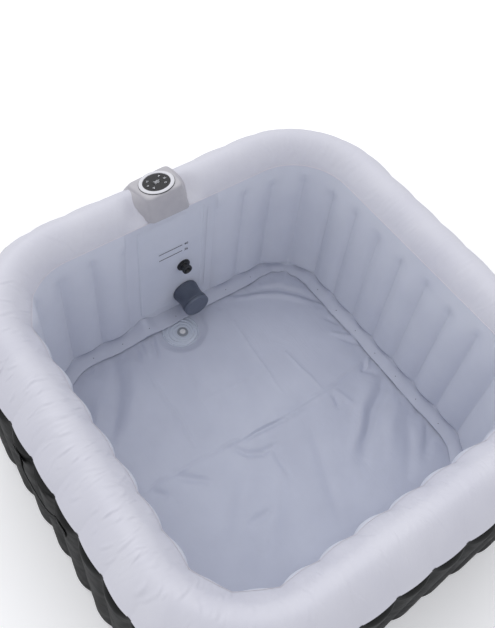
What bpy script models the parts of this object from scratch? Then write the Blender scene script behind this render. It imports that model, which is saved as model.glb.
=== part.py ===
"""Square inflatable hot tub with its pump unit built into the back wall.

Metres, +Z up. The origin is on the ground, under the middle of the tub. The pump unit and the
control panel are on the +Y side, called the back, and the bathers' side of each wall is its wet side.
"""

import math

import bpy
import bmesh
from mathutils import Matrix, Vector

# Gaps and sheet
GAP = 0.0003
SKIN = 0.0015
OVERRUN = 0.002

# Inflated wall: the wet face of the inner wall, and how far the outer wall stands from it
INNER_HALF = 0.586
INNER_CORNER = 0.206
WALL_WIDTH = 0.179
SEAM_ABOVE_FLOOR = 0.5765
OUTER_SEAM_DROP = 0.0195
SEAM_GAP = 0.0011
INNER_RIBS = 9
OUTER_RIBS = 11
RIB_STEPS = 3
CORNER_STEPS = 8
SIDES = 16
FINE_SIDES = 24
INNER_RIB_BULGE = 0.018
OUTER_RIB_BULGE = 0.020
RIB_FADE = 0.050
SEAM_ROUND = 0.012
SEAM_ROUND_SHARE = 0.45

# Top roll: its crest, and the handles of the two curves of its section
ROLL_RISE = 0.0755
CREST_IN = 0.060
INNER_LEAN = 0.012
INNER_HANDLE = 0.045
CREST_INNER_HANDLE = 0.035
CREST_OUTER_HANDLE = 0.055
OUTER_LEAN = 0.020
OUTER_HANDLE = 0.030
ROLL_STEPS = 5

# Floor
BASE_THICKNESS = 0.0015
PAD_THICKNESS = 0.014
LINER_THICKNESS = 0.0015

# Air duct: the strip that closes the corner between the inner wall and the floor
DUCT_HEIGHT = 0.0555
DUCT_REACH = 0.048
DUCT_BULGE = 0.005
AIR_HOLE_RADIUS = 0.0015
AIR_HOLE_PITCH = 0.160
AIR_HOLE_HEIGHT_SHARE = 0.42
AIR_HOLE_SIDES = 6

# Webs between the walls
WEB_THICKNESS = 0.0012

# Flat patch for the pump unit on the wet side
PANEL_HALF_WIDTH = 0.133
PANEL_CORNER = 0.030
PANEL_TOP_MARGIN = 0.028
PANEL_FOOT_MARGIN = 0.004
PANEL_THICKNESS = 0.0012

# Pump case
CASE_HALF_WIDTH = 0.140
CASE_WALL = 0.003
CASE_TOP_CLEARANCE = 0.040
WINDOW_MARGIN = 0.010
WINDOW_SILL = 0.045
COVER_THICKNESS = 0.0035
COVER_LAP = 0.015
POST_DEPTH = 0.028
POST_HALF = 0.008
PILOT_RADIUS = 0.0022
SCREW_RADIUS = 0.0018
SCREW_HEAD_RADIUS = 0.0045
SCREW_HEAD_HEIGHT = 0.0025
VENT_COUNT = 6
VENT_HALF_LENGTH = 0.055
VENT_HEIGHT = 0.006
VENT_PITCH = 0.014
VENT_BELOW_TOP = 0.0546

# Filter, on the wet side: its centre, and heights that start at the wall's face
FILTER_X = 0.060
FILTER_ABOVE_FLOOR = 0.109
FILTER_BASE_RADIUS = 0.0515
FILTER_BASE_HEIGHT = 0.009
FILTER_WAIST_RADIUS = 0.0445
FILTER_FRONT_RADIUS = 0.0500
FILTER_COLLAR = 0.011
FILTER_FLARE = 0.012
FILTER_WALL = 0.003
FILTER_STAND_OFF = 0.0028
FILTER_FRONT = 0.0808
FILTER_CAP_RADIUS = 0.0510
FILTER_CAP_GROOVE = 0.0025
FILTER_CAP_HEIGHT = 0.009
CAP_SKIRT = 0.009
CAP_CLEARANCE = 0.0008
CAP_SLOTS = 6
CAP_SLOT_HALF = 0.004
FILTER_NECK_RADIUS = 0.018
FILTER_BORE_RADIUS = 0.013
FILTER_STUB_RADIUS = 0.016
FILTER_STUB = 0.020
FLANGE_THICKNESS = 0.004
FILTER_FLANGE_RADIUS = 0.028
NUT_THICKNESS = 0.008
NUT_RIM = 0.009
NECK_TAIL = 0.016
PLEATS = 20
PLEAT_DEPTH = 0.006
MEDIA_RADIUS = 0.038
MEDIA_CLEARANCE = 0.0008

# Water outlet: a nozzle with a ball that a ring holds in its fitting
OUTLET_X = 0.052
OUTLET_ABOVE_FLOOR = 0.270
OUTLET_FLANGE_RADIUS = 0.0263
OUTLET_NECK_RADIUS = 0.016
OUTLET_BORE_RADIUS = 0.009
BALL_RADIUS = 0.0125
BALL_CLEARANCE = 0.0005
BALL_OUT = 0.007
RING_THICKNESS = 0.006
RING_RADIUS = 0.0215
NOZZLE_NECK_RADIUS = 0.0085
NOZZLE_NECK = 0.015
NOZZLE_HEAD_RADIUS = 0.0190
NOZZLE_HEAD = 0.011
NOZZLE_BORE = 0.006
NOZZLE_MOUTH = 0.0125
BALL_STEPS = 6

# Drain in the floor, its pipe, and the drain valve on the outer wall
DRAIN_X = -0.011
DRAIN_FROM_BACK = 0.102
PATCH_RADIUS = 0.058
PATCH_FORWARD = 0.008
PATCH_THICKNESS = 0.0012
SUMP_RADIUS = 0.030
SUMP_NECK_RADIUS = 0.0125
SUMP_BORE_RADIUS = 0.0095
SUMP_FLOOR = 0.0035
DRAIN_RING_RADIUS = 0.0172
DRAIN_RING_THICKNESS = 0.0030
PLUG_HEAD_RADIUS = 0.0122
PLUG_HEAD_THICKNESS = 0.0025
PLUG_STEM = 0.011
PLUG_TAB = 0.004
PLUG_TAB_HALF = 0.0060
PLUG_TAB_HALF_THICKNESS = 0.0012
PIPE_RADIUS = 0.0050
PIPE_WALL = 0.0012
PIPE_CLEARANCE = 0.0006
SOCKET_DEPTH = 0.008
DRAIN_BEND = 0.022
VALVE_BESIDE_COVER = 0.003
VALVE_HEIGHT = 0.050
VALVE_FLANGE_RADIUS = 0.0150
VALVE_FLANGE_THICKNESS = 0.003
VALVE_NECK_RADIUS = 0.0100
VALVE_TAIL = 0.020
VALVE_SPOUT = 0.008
VALVE_SPOUT_RADIUS = 0.0090
VALVE_CAP_RADIUS = 0.0130
VALVE_CAP_HEIGHT = 0.0115
GRIP_LENGTH_SHARE = 0.8
GRIP_WIDTH = 0.0035
GRIP_HEIGHT = 0.003

# Pump, whose shaft lies along X. Its volute's right face is where the suction pipe comes in
PUMP_BEHIND_WALL = 0.094
MOTOR_RADIUS = 0.040
MOTOR_LENGTH = 0.100
MOTOR_WALL = 0.003
VOLUTE_RADIUS = 0.048
VOLUTE_WIDTH = 0.032
VOLUTE_RIGHT = 0.012
VOLUTE_WALL = 0.004
SPIGOT = 0.012
SPIGOT_RADIUS = 0.011
SPIGOT_BORE = 0.008
DISCHARGE_OFFSET = 0.028
DISCHARGE_RISE = 0.060
IMPELLER_RADIUS = 0.036
IMPELLER_HUB_RADIUS = 0.010
IMPELLER_PLATE = 0.003
IMPELLER_CLEARANCE = 0.001
IMPELLER_VANES = 5
VANE_HEIGHT = 0.010
VANE_HALF_THICKNESS = 0.0012
SHAFT_RADIUS = 0.004
SHAFT_CLEARANCE = 0.0004
ROTOR_RADIUS = 0.030
ROTOR_LENGTH = 0.070
CRADLE_HALF_LENGTH = 0.030
CRADLE_HALF_DEPTH = 0.026
CRADLE_TOP_BELOW_SHAFT = 0.026

# Heater
HEATER_RADIUS = 0.024
HEATER_WALL = 0.0015
HEATER_LENGTH = 0.150
HEATER_END = 0.012
HEATER_RIM = 0.002
HEATER_FLOOR = 0.004

# Water pipes inside the case, and the straight stub at each end of a bend
BEND_STUB = 0.003
WATER_PIPE_RADIUS = 0.010
WATER_PIPE_WALL = 0.002
SUCTION_LEAD = 0.040
OUTLET_LEAD = 0.080
OUTLET_TURN = 0.018
OUTLET_BEHIND = 0.032
OUTLET_ABOVE = 0.045

# Air blower, its hose, and the fitting that lets its air into the duct
BLOWER_FROM_SIDE = 0.052
BLOWER_BELOW_CASE_TOP = 0.100
BLOWER_RADIUS = 0.046
BLOWER_DEPTH = 0.050
BLOWER_WALL = 0.003
BLOWER_INTAKE_RADIUS = 0.018
BLOWER_MOTOR_RADIUS = 0.022
BLOWER_MOTOR_LENGTH = 0.032
BLOWER_SPIGOT_OFFSET = 0.033
BLOWER_SPIGOT_DROP = 0.056
FAN_RADIUS = 0.038
FAN_HUB_RADIUS = 0.012
FAN_PLATE = 0.003
FAN_BLADES = 8
FAN_BLADE_HEIGHT = 0.028
FAN_BLADE_INNER_SHARE = 0.55
BLOWER_POST_HALF = 0.005
BLOWER_POST_OUT = 0.036
AIR_PIPE_RADIUS = 0.009
AIR_PIPE_WALL = 0.0015
AIR_HOSE_IN_FRONT = 0.030
AIR_HOSE_LEAD = 0.060
AIR_HOSE_TURN = 0.016
AIR_INLET_FROM_SIDE = 0.011
AIR_INLET_ABOVE_FLOOR = 0.040
AIR_INLET_TAIL = 0.006
AIR_NECK_RADIUS = 0.009
AIR_BORE_RADIUS = 0.006
AIR_FLANGE_RADIUS = 0.0125
AIR_FLANGE_THICKNESS = 0.003

# Power board on the right wall of the case
BOARD_THICKNESS = 0.0016
BOARD_DEPTH = 0.110
BOARD_HEIGHT = 0.120
BOARD_BELOW_CASE_TOP = 0.035
BOARD_STAND_OFF = 0.010
STAND_OFF_RADIUS = 0.004
STAND_OFF_INSET = 0.010
TRANSFORMER = (0.028, 0.040, 0.036)
RELAY = (0.016, 0.030, 0.020)
BLOCK_SHARES = (0.30, 0.75)

# Power inlet on the cover
INLET_FROM_SIDE = 0.035
INLET_ABOVE_SILL = 0.030
INLET_FLANGE_RADIUS = 0.014
INLET_FLANGE_THICKNESS = 0.003
INLET_NECK_RADIUS = 0.008
INLET_BORE_RADIUS = 0.0045
INLET_OUT = 0.010
INLET_TAIL = 0.012

# Control housing on the roll: places run out from the inner seam and up from it
CONTROL_X = -0.012
CONTROL_FOOT_IN = 0.017
CONTROL_FOOT_UP = 0.0095
CONTROL_TOP_OUT = 0.006
CONTROL_TOP_UP = 0.1025
CONTROL_DEPTH = 0.131
CONTROL_TILT = math.radians(8)
CONTROL_BACK_LEAN = 0.014
CONTROL_FRONT_HALF = 0.068
CONTROL_BACK_HALF = 0.087
CONTROL_WALL = 0.003
CONTROL_ROUND = 0.006
DISC_FROM_TOP_EDGE = 0.0635
BEZEL_RADIUS = 0.062
BEZEL_RISE = 0.004
BEZEL_EDGE = 0.002
SKIRT_RADIUS = 0.0500
SKIRT_DEPTH = 0.014
FACE_RADIUS = 0.0460
FACE_THICKNESS = 0.0030
FACE_SKIRT = 0.002
FACE_BELOW_BEZEL = 0.0008
LEDGE_RADIUS = 0.040
LEDGE_THICKNESS = 0.0025
KEY_COUNT = 6
KEY_ANGLES = (0, 45, 135, 180, 225, 315)
KEY_CIRCLE = 0.0310
KEY_RADIUS = 0.0068
KEY_TRAVEL = 0.0006
KEY_STEM_RADIUS = 0.0020
DISPLAY_HALF_WIDTH = 0.0150
DISPLAY_HALF_HEIGHT = 0.0070
CONDUIT_RADIUS = 0.0090
CONDUIT_WALL = 0.0020
CONDUIT_FROM_WALL = 0.080
CONDUIT_FLANGE = 0.0130
CONDUIT_FLANGE_THICKNESS = 0.002
CONDUIT_OVER_ROLL = 0.002
CABLE_RADIUS = 0.0025
CABLE_LEAD = 0.060

# Inflation valve on a rib of the right outer wall, counted in ribs from the wall's middle
AIR_VALVE_RIB = 2
AIR_VALVE_BELOW_SEAM = 0.1446
AIR_VALVE_FLANGE = 0.020
AIR_VALVE_FLANGE_THICKNESS = 0.003
AIR_VALVE_NECK = 0.0130
AIR_VALVE_TAIL = 0.012
AIR_VALVE_BORE = 0.0090
AIR_VALVE_CAP = 0.0165
AIR_VALVE_CAP_HEIGHT = 0.006
AIR_VALVE_PLUG = 0.007

# Carrying handles on the left and right outer walls, from rib to rib over the middle one
HANDLE_RIB = 1
HANDLE_BELOW_SEAM = 0.0596
HANDLE_HALF_WIDTH = 0.019
HANDLE_THICKNESS = 0.003
HANDLE_STAND_OUT = 0.011
HANDLE_PATCH_HALF = 0.030
HANDLE_PATCH_LENGTH = 0.048
HANDLE_RUN_SHARES = (0.0, 0.12, 0.30, 0.62, 1.0)
HANDLE_RISE_SHARES = (0.0, 0.35, 0.80, 0.97, 1.0)

# What follows from the sizes above
FLOOR_TOP = BASE_THICKNESS + GAP + PAD_THICKNESS + GAP + LINER_THICKNESS
PAD_BOTTOM = BASE_THICKNESS + GAP
PAD_TOP = PAD_BOTTOM + PAD_THICKNESS
WALL_FOOT = BASE_THICKNESS + GAP
SEAM = FLOOR_TOP + SEAM_ABOVE_FLOOR
OUTER_SEAM = SEAM - OUTER_SEAM_DROP
OUTER_HALF = INNER_HALF + WALL_WIDTH
OUTER_CORNER = INNER_CORNER + WALL_WIDTH
DUCT_TOP = FLOOR_TOP + DUCT_HEIGHT
CASE_FRONT = INNER_HALF + SKIN + GAP
CASE_BACK = OUTER_HALF - SKIN - GAP
CASE_TOP = OUTER_SEAM - CASE_TOP_CLEARANCE
WINDOW_HALF_WIDTH = CASE_HALF_WIDTH - WINDOW_MARGIN
WINDOW_TOP = CASE_TOP - WINDOW_MARGIN
VENT_TOP = WINDOW_TOP - VENT_BELOW_TOP
FILTER_HEIGHT = FLOOR_TOP + FILTER_ABOVE_FLOOR
OUTLET_HEIGHT = FLOOR_TOP + OUTLET_ABOVE_FLOOR
DRAIN_Y = INNER_HALF - DRAIN_FROM_BACK
VALVE_X = -(WINDOW_HALF_WIDTH + COVER_LAP + VALVE_BESIDE_COVER + VALVE_FLANGE_RADIUS)
PUMP_Y = INNER_HALF + PUMP_BEHIND_WALL
BLOWER_X = -CASE_HALF_WIDTH + CASE_WALL + BLOWER_FROM_SIDE
AIR_INLET_X = -CASE_HALF_WIDTH + CASE_WALL + AIR_INLET_FROM_SIDE
BLOWER_HEIGHT = CASE_TOP - BLOWER_BELOW_CASE_TOP
COVER_FACE = OUTER_HALF + GAP + COVER_THICKNESS
INLET_X = WINDOW_HALF_WIDTH - INLET_FROM_SIDE
INLET_HEIGHT = WINDOW_SILL + INLET_ABOVE_SILL
AIR_VALVE_HEIGHT = OUTER_SEAM - AIR_VALVE_BELOW_SEAM
HANDLE_HEIGHT = OUTER_SEAM - HANDLE_BELOW_SEAM
FLANGE_LOW = GAP + PANEL_THICKNESS + GAP
FLANGE_HIGH = FLANGE_LOW + FLANGE_THICKNESS
WALL_STACK = SKIN + GAP + CASE_WALL

TOWARDS_BASIN = (math.radians(90), 0, 0)
TOWARDS_BACK = (math.radians(-90), 0, 0)
TOWARDS_RIGHT = (0, math.radians(90), 0)
TOWARDS_LEFT = (0, math.radians(-90), 0)
UPRIGHT = (0, 0, 0)


# Scene, materials and the modelling tools

for old in list(bpy.data.objects):
    bpy.data.objects.remove(old, do_unlink=True)

TUB = bpy.data.collections.new("inflatable_hot_tub")
CUTTERS = bpy.data.collections.new("cutters")
bpy.context.scene.collection.children.link(TUB)
bpy.context.scene.collection.children.link(CUTTERS)


def material(name, colour, roughness, metallic=0.0):
    made = bpy.data.materials.new(name)
    made.use_nodes = True
    shader = made.node_tree.nodes["Principled BSDF"]
    shader.inputs["Base Color"].default_value = (*colour, 1)
    shader.inputs["Roughness"].default_value = roughness
    shader.inputs["Metallic"].default_value = metallic
    made.diffuse_color = (*colour, 1)
    return made


WHITE_PVC = material("white_pvc", (0.66, 0.67, 0.75), 0.42)
GREY_PVC = material("grey_pvc", (0.36, 0.40, 0.50), 0.45)
BLACK_PVC = material("black_pvc", (0.013, 0.014, 0.014), 0.50)
WEB_FABRIC = material("web_fabric", (0.55, 0.56, 0.58), 0.80)
FOAM = material("foam", (0.30, 0.31, 0.33), 0.95)
LIGHT_ABS = material("light_abs", (0.47, 0.47, 0.48), 0.40)
WHITE_ABS = material("white_abs", (0.80, 0.80, 0.81), 0.30)
SLATE_ABS = material("slate_abs", (0.075, 0.085, 0.105), 0.45)
BLACK_ABS = material("black_abs", (0.020, 0.022, 0.025), 0.40)
GLOSS_BLACK = material("gloss_black", (0.010, 0.011, 0.013), 0.12)
FILTER_PAPER = material("filter_paper", (0.75, 0.76, 0.74), 0.90)
STEEL = material("steel", (0.60, 0.60, 0.60), 0.28, 1.0)
HOSE = material("hose", (0.55, 0.56, 0.57), 0.55)
RUBBER = material("rubber", (0.020, 0.020, 0.020), 0.75)
CIRCUIT = material("circuit", (0.020, 0.110, 0.050), 0.45)
WEBBING = material("webbing", (0.012, 0.012, 0.014), 0.85)


def add(name, mesh, finish, place=(0, 0, 0), turn=UPRIGHT, parent=None):
    """A named object of the tub, at its place, with its own copy of its finish."""
    made = bpy.data.objects.new(name, mesh)
    TUB.objects.link(made)
    made.location = place
    made.rotation_euler = turn
    made.parent = parent
    if finish is not None:
        own = finish.copy()
        own.name = name
        made.data.materials.append(own)
    return made


def make_cutter(cutter):
    cutter.hide_render = True
    cutter.display_type = "WIRE"
    for holder in list(cutter.users_collection):
        holder.objects.unlink(cutter)
    CUTTERS.objects.link(cutter)
    return cutter


def boolean(target, tool, operation):
    step = target.modifiers.new(operation.lower(), "BOOLEAN")
    step.operation = operation
    step.solver = "EXACT"
    step.object = make_cutter(tool)
    return target


def cut(target, *tools):
    for tool in tools:
        boolean(target, tool, "DIFFERENCE")
    return target


def join(target, *tools):
    for tool in tools:
        boolean(target, tool, "UNION")
    return target


def solidify(target, thickness, offset):
    step = target.modifiers.new("thickness", "SOLIDIFY")
    step.thickness = thickness
    step.offset = offset
    step.use_even_offset = False
    return target


def mesh_of(work, name):
    mesh = bpy.data.meshes.new(name)
    work.to_mesh(mesh)
    work.free()
    return mesh


def box(name, low, high, finish=None, parent=None, turn=UPRIGHT):
    """A block between two corners, with its origin at its middle."""
    work = bmesh.new()
    bmesh.ops.create_cube(work, size=1)
    size = Vector(high) - Vector(low)
    bmesh.ops.scale(work, vec=size, verts=work.verts)
    middle = (Vector(high) + Vector(low)) / 2
    return add(name, mesh_of(work, name), finish, middle, turn, parent)


def rod(name, radius, low, high, finish=None, place=(0, 0, 0), turn=UPRIGHT, parent=None, sides=SIDES):
    """A cylinder along its own Z, from one height to another."""
    work = bmesh.new()
    bmesh.ops.create_cone(
        work, cap_ends=True, segments=sides, radius1=radius, radius2=radius, depth=high - low
    )
    bmesh.ops.translate(work, vec=(0, 0, (low + high) / 2), verts=work.verts)
    mesh = mesh_of(work, name)
    if sides > AIR_HOLE_SIDES:
        mesh.shade_smooth()
        mesh.set_sharp_from_angle(angle=math.radians(40))
    return add(name, mesh, finish, place, turn, parent)


def turned(name, profile, finish=None, place=(0, 0, 0), turn=UPRIGHT, parent=None, sides=SIDES):
    """A turned piece about its own Z. The profile runs down its outer side, top to bottom.

    It is a ring where no point lies on the axis, and the profile then closes on itself.
    """
    work = bmesh.new()
    points = [work.verts.new((radius, 0, height)) for radius, height in profile]
    for first, second in zip(points, points[1:]):
        work.edges.new((first, second))
    if all(radius > 0 for radius, _ in profile):
        work.edges.new((points[-1], points[0]))
    made = add(name, mesh_of(work, name), finish, place, turn, parent)
    screw = made.modifiers.new("turn", "SCREW")
    screw.axis = "Z"
    screw.steps = sides
    screw.render_steps = sides
    screw.use_merge_vertices = True
    screw.merge_threshold = GAP / 30
    return made


def ring(name, outer, inner, low, high, finish=None, place=(0, 0, 0), turn=UPRIGHT, parent=None,
         sides=SIDES):
    profile = [(outer, high), (outer, low), (inner, low), (inner, high)]
    return turned(name, profile, finish, place, turn, parent, sides)


def hex_nut(name, bore, low, high, finish, place, turn):
    nut = rod(name, (bore + NUT_RIM) / math.cos(math.radians(30)), low, high, finish, place, turn, sides=6)
    hole = rod(name + "_hole", bore, low - OVERRUN, high + OVERRUN, None, place, turn)
    return cut(nut, hole)


def bend(start, start_way, end, end_way, lead, count=6):
    """Points of a smooth bend. Each end leaves its place straight, the given way, over a lead."""
    start, end = Vector(start), Vector(end)
    start_way, end_way = Vector(start_way), Vector(end_way)
    near, far = start + start_way * BEND_STUB, end + end_way * BEND_STUB
    first, last = near + start_way * lead, far + end_way * lead
    points = [start]
    for number in range(count + 1):
        t = number / count
        points.append(
            near * (1 - t) ** 3 + first * 3 * t * (1 - t) ** 2 + last * 3 * t**2 * (1 - t) + far * t**3
        )
    return points + [end]


def pipe(name, route, radius, finish=None, wall=None, resolution=2):
    """A round pipe along its route, or a solid rod where it has no wall."""
    curve = bpy.data.curves.new(name, "CURVE")
    curve.dimensions = "3D"
    curve.bevel_depth = radius
    curve.bevel_resolution = resolution
    curve.use_fill_caps = wall is None
    spline = curve.splines.new("POLY")
    spline.points.add(len(route) - 1)
    for point, place in zip(spline.points, route):
        point.co = (*place, 1)
    made = add(name, curve, finish)
    if wall is not None:
        solidify(made, wall, -1)
    return made


def sheet(name, points, thickness, finish):
    """A flat sheet with the given outline. Its thickness runs the way that its face looks."""
    work = bmesh.new()
    work.faces.new([work.verts.new(point) for point in points])
    return solidify(add(name, mesh_of(work, name), finish), thickness, 1)


def as_mesh(made):
    """The same object as a mesh, with its caps welded, so that it can be cut or cut others."""
    graph = bpy.context.evaluated_depsgraph_get()
    mesh = bpy.data.meshes.new_from_object(made.evaluated_get(graph))
    work = bmesh.new()
    work.from_mesh(mesh)
    bmesh.ops.remove_doubles(work, verts=work.verts, dist=GAP / 30)
    work.to_mesh(mesh)
    work.free()
    name = made.name
    place = made.matrix_world.copy()
    bpy.data.objects.remove(made, do_unlink=True)
    new = bpy.data.objects.new(name, mesh)
    TUB.objects.link(new)
    new.matrix_world = place
    return new


# Places round the tub, which is a square with round corners

def side_length(half, corner):
    return 2 * (half - corner) + corner * math.pi / 2


def ring_point(distance, half, corner):
    """Place and outward direction at a distance along the wall, from the middle of the front."""
    length = side_length(half, corner)
    straight = half - corner
    side = math.floor(distance / length + 0.5)
    along = distance - side * length
    past = max(0.0, abs(along) - straight) / corner
    way = math.copysign(1, along)
    x = way * (min(abs(along), straight) + corner * math.sin(past))
    y = -straight - corner * math.cos(past)
    place = Vector((x, y, 0))
    outward = Vector((way * math.sin(past), -math.cos(past), 0))
    turn = side * math.pi / 2
    cosine, sine = math.cos(turn), math.sin(turn)
    return tuple(
        Vector((v.x * cosine - v.y * sine, v.x * sine + v.y * cosine, 0)) for v in (place, outward)
    )


def plain_ring(half, corner):
    """Places for a smooth ring: the ends of each straight, and steps round each corner."""
    length = side_length(half, corner)
    straight = half - corner
    arc = length - 2 * straight
    return [
        ring_point(side * length + straight + arc * step / CORNER_STEPS, half, corner)
        for side in range(4)
        for step in range(CORNER_STEPS + 1)
    ]


def outline(name, half, corner, low, high, finish):
    """A flat sheet in the tub's rounded square outline."""
    work = bmesh.new()
    corners = [work.verts.new(place + Vector((0, 0, low))) for place, _ in plain_ring(half, corner)]
    work.faces.new(corners)
    made = add(name, mesh_of(work, name), finish)
    return solidify(made, high - low, 1)


def ring_surface(name, columns, finish):
    """An open wall all round the tub, from columns of points that each run upwards."""
    work = bmesh.new()
    grid = [[work.verts.new(point) for point in column] for column in columns]
    for left, right in zip(grid, grid[1:] + grid[:1]):
        for row in range(len(left) - 1):
            work.faces.new((left[row], right[row], right[row + 1], left[row + 1]))
    mesh = mesh_of(work, name)
    mesh.shade_smooth()
    mesh.set_sharp_from_angle(angle=math.radians(50))
    return add(name, mesh, finish)


def bulge_share(step):
    """How far a rib stands out across its width: none at the welds, all of it in the middle."""
    return (1 - (2 * step / RIB_STEPS - 1) ** 2) / (1 - (RIB_STEPS % 2 / RIB_STEPS) ** 2)


def ribs_over(reach, half, corner, ribs):
    """The smallest odd number of ribs, about the middle of a side, that covers a reach each way."""
    return 2 * math.ceil(reach * ribs / side_length(half, corner) - 0.5) + 1


# Ribs of each wall left flat for the pump unit, the same number in both
BAY_RIBS = max(
    ribs_over(CASE_HALF_WIDTH, INNER_HALF, INNER_CORNER, INNER_RIBS),
    ribs_over(VALVE_FLANGE_RADIUS - VALVE_X, OUTER_HALF, OUTER_CORNER, OUTER_RIBS),
)


def rib_is_flat(number, ribs):
    """Whether a rib lies in the pump bay, in the middle of the back side."""
    middle = 2 * ribs + ribs // 2
    return abs(number - middle) <= BAY_RIBS // 2


def ribbed_wall(name, half, corner, ribs, rows, bulge, finish):
    """A wall of upright ribs. A row is a height and the share of the bulge that it has."""
    pitch = side_length(half, corner) / ribs
    columns = []
    for number in range(4 * ribs):
        for step in range(RIB_STEPS):
            distance = (number - ribs / 2 + step / RIB_STEPS) * pitch
            place, outward = ring_point(distance, half, corner)
            out = 0 if rib_is_flat(number, ribs) else bulge * bulge_share(step)
            columns.append([place + outward * out * share + Vector((0, 0, z)) for z, share in rows])
    return ring_surface(name, columns, finish)


def groove(index, half, corner, ribs, side):
    """Place and outward direction of a weld, counted in ribs from the middle of a side."""
    return ring_point((side * ribs + index) * side_length(half, corner) / ribs, half, corner)


# Inflated body

def roll_section():
    """Points of the roll's section, as (outward from the inner seam, above it)."""
    start, crest = Vector((0, 0)), Vector((CREST_IN, ROLL_RISE))
    end = Vector((WALL_WIDTH, -OUTER_SEAM_DROP))
    curves = [
        (start, start + Vector((INNER_LEAN, INNER_HANDLE)), crest - Vector((CREST_INNER_HANDLE, 0)), crest),
        (crest, crest + Vector((CREST_OUTER_HANDLE, 0)), end + Vector((-OUTER_LEAN, OUTER_HANDLE)), end),
    ]
    points = [start]
    for first, second, third, last in curves:
        for step in range(1, ROLL_STEPS + 1):
            t = step / ROLL_STEPS
            points.append(
                first * (1 - t) ** 3 + second * 3 * t * (1 - t) ** 2
                + third * 3 * t**2 * (1 - t) + last * t**3
            )
    return points


def make_top_roll():
    columns = [
        [place + outward * point.x + Vector((0, 0, SEAM + point.y)) for point in roll_section()]
        for place, outward in plain_ring(INNER_HALF, INNER_CORNER)
    ]
    roll = ring_surface("top_roll", columns, WHITE_PVC)
    solidify(roll, SKIN, 1)
    hole = rod(
        "conduit_hole_in_roll", CONDUIT_RADIUS + GAP, SEAM, SEAM + 2 * ROLL_RISE,
        None, (CONTROL_X, INNER_HALF + CONDUIT_FROM_WALL, 0),
    )
    return cut(roll, hole)


def make_inner_wall():
    rows = [
        (WALL_FOOT, 0),
        (DUCT_TOP, 0),
        (DUCT_TOP + RIB_FADE, 1),
        (SEAM - RIB_FADE, 1),
        (SEAM - SEAM_ROUND, SEAM_ROUND_SHARE),
        (SEAM - SEAM_GAP, 0),
    ]
    wall = ribbed_wall("inner_wall", INNER_HALF, INNER_CORNER, INNER_RIBS, rows, -INNER_RIB_BULGE, GREY_PVC)
    solidify(wall, SKIN, 1)
    low, high = -WALL_STACK - OVERRUN, OVERRUN
    filter_hole = rod(
        "filter_hole_in_wall", FILTER_NECK_RADIUS + GAP, low, high,
        None, (FILTER_X, INNER_HALF, FILTER_HEIGHT), TOWARDS_BASIN,
    )
    outlet_hole = rod(
        "outlet_hole_in_wall", OUTLET_NECK_RADIUS + GAP, low, high,
        None, (OUTLET_X, INNER_HALF, OUTLET_HEIGHT), TOWARDS_BASIN,
    )
    air_hole = rod(
        "air_hole_in_wall", AIR_NECK_RADIUS + GAP, low, high,
        None, (AIR_INLET_X, INNER_HALF, FLOOR_TOP + AIR_INLET_ABOVE_FLOOR), TOWARDS_BASIN,
    )
    return cut(wall, filter_hole, outlet_hole, air_hole, drain_route_cutter("drain_hole_in_wall"))


def rib_crown(index, side, height):
    """Where a rib of the outer wall stands out furthest, counted from the middle of a side."""
    place, outward = groove(index, OUTER_HALF, OUTER_CORNER, OUTER_RIBS, side)
    return place + outward * OUTER_RIB_BULGE + Vector((0, 0, height))


def valve_place():
    return rib_crown(AIR_VALVE_RIB, 1, AIR_VALVE_HEIGHT)


def make_outer_wall():
    rows = [
        (WALL_FOOT, 0),
        (WALL_FOOT + RIB_FADE, 1),
        (OUTER_SEAM - RIB_FADE, 1),
        (OUTER_SEAM - SEAM_GAP, 0),
    ]
    wall = ribbed_wall("outer_wall", OUTER_HALF, OUTER_CORNER, OUTER_RIBS, rows, OUTER_RIB_BULGE, BLACK_PVC)
    solidify(wall, SKIN, -1)
    window = box(
        "window_in_wall",
        (-WINDOW_HALF_WIDTH, OUTER_HALF - SKIN - OVERRUN, WINDOW_SILL),
        (WINDOW_HALF_WIDTH, OUTER_HALF + OVERRUN, WINDOW_TOP),
    )
    drain_hole = rod(
        "drain_valve_hole", VALVE_NECK_RADIUS + GAP, -SKIN - OVERRUN, OVERRUN,
        None, (VALVE_X, OUTER_HALF, VALVE_HEIGHT), TOWARDS_BACK,
    )
    valve_hole = rod(
        "inflation_valve_hole", AIR_VALVE_NECK + GAP, -OUTER_RIB_BULGE, OVERRUN,
        None, valve_place(), TOWARDS_RIGHT,
    )
    return cut(wall, window, drain_hole, valve_hole)


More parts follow.
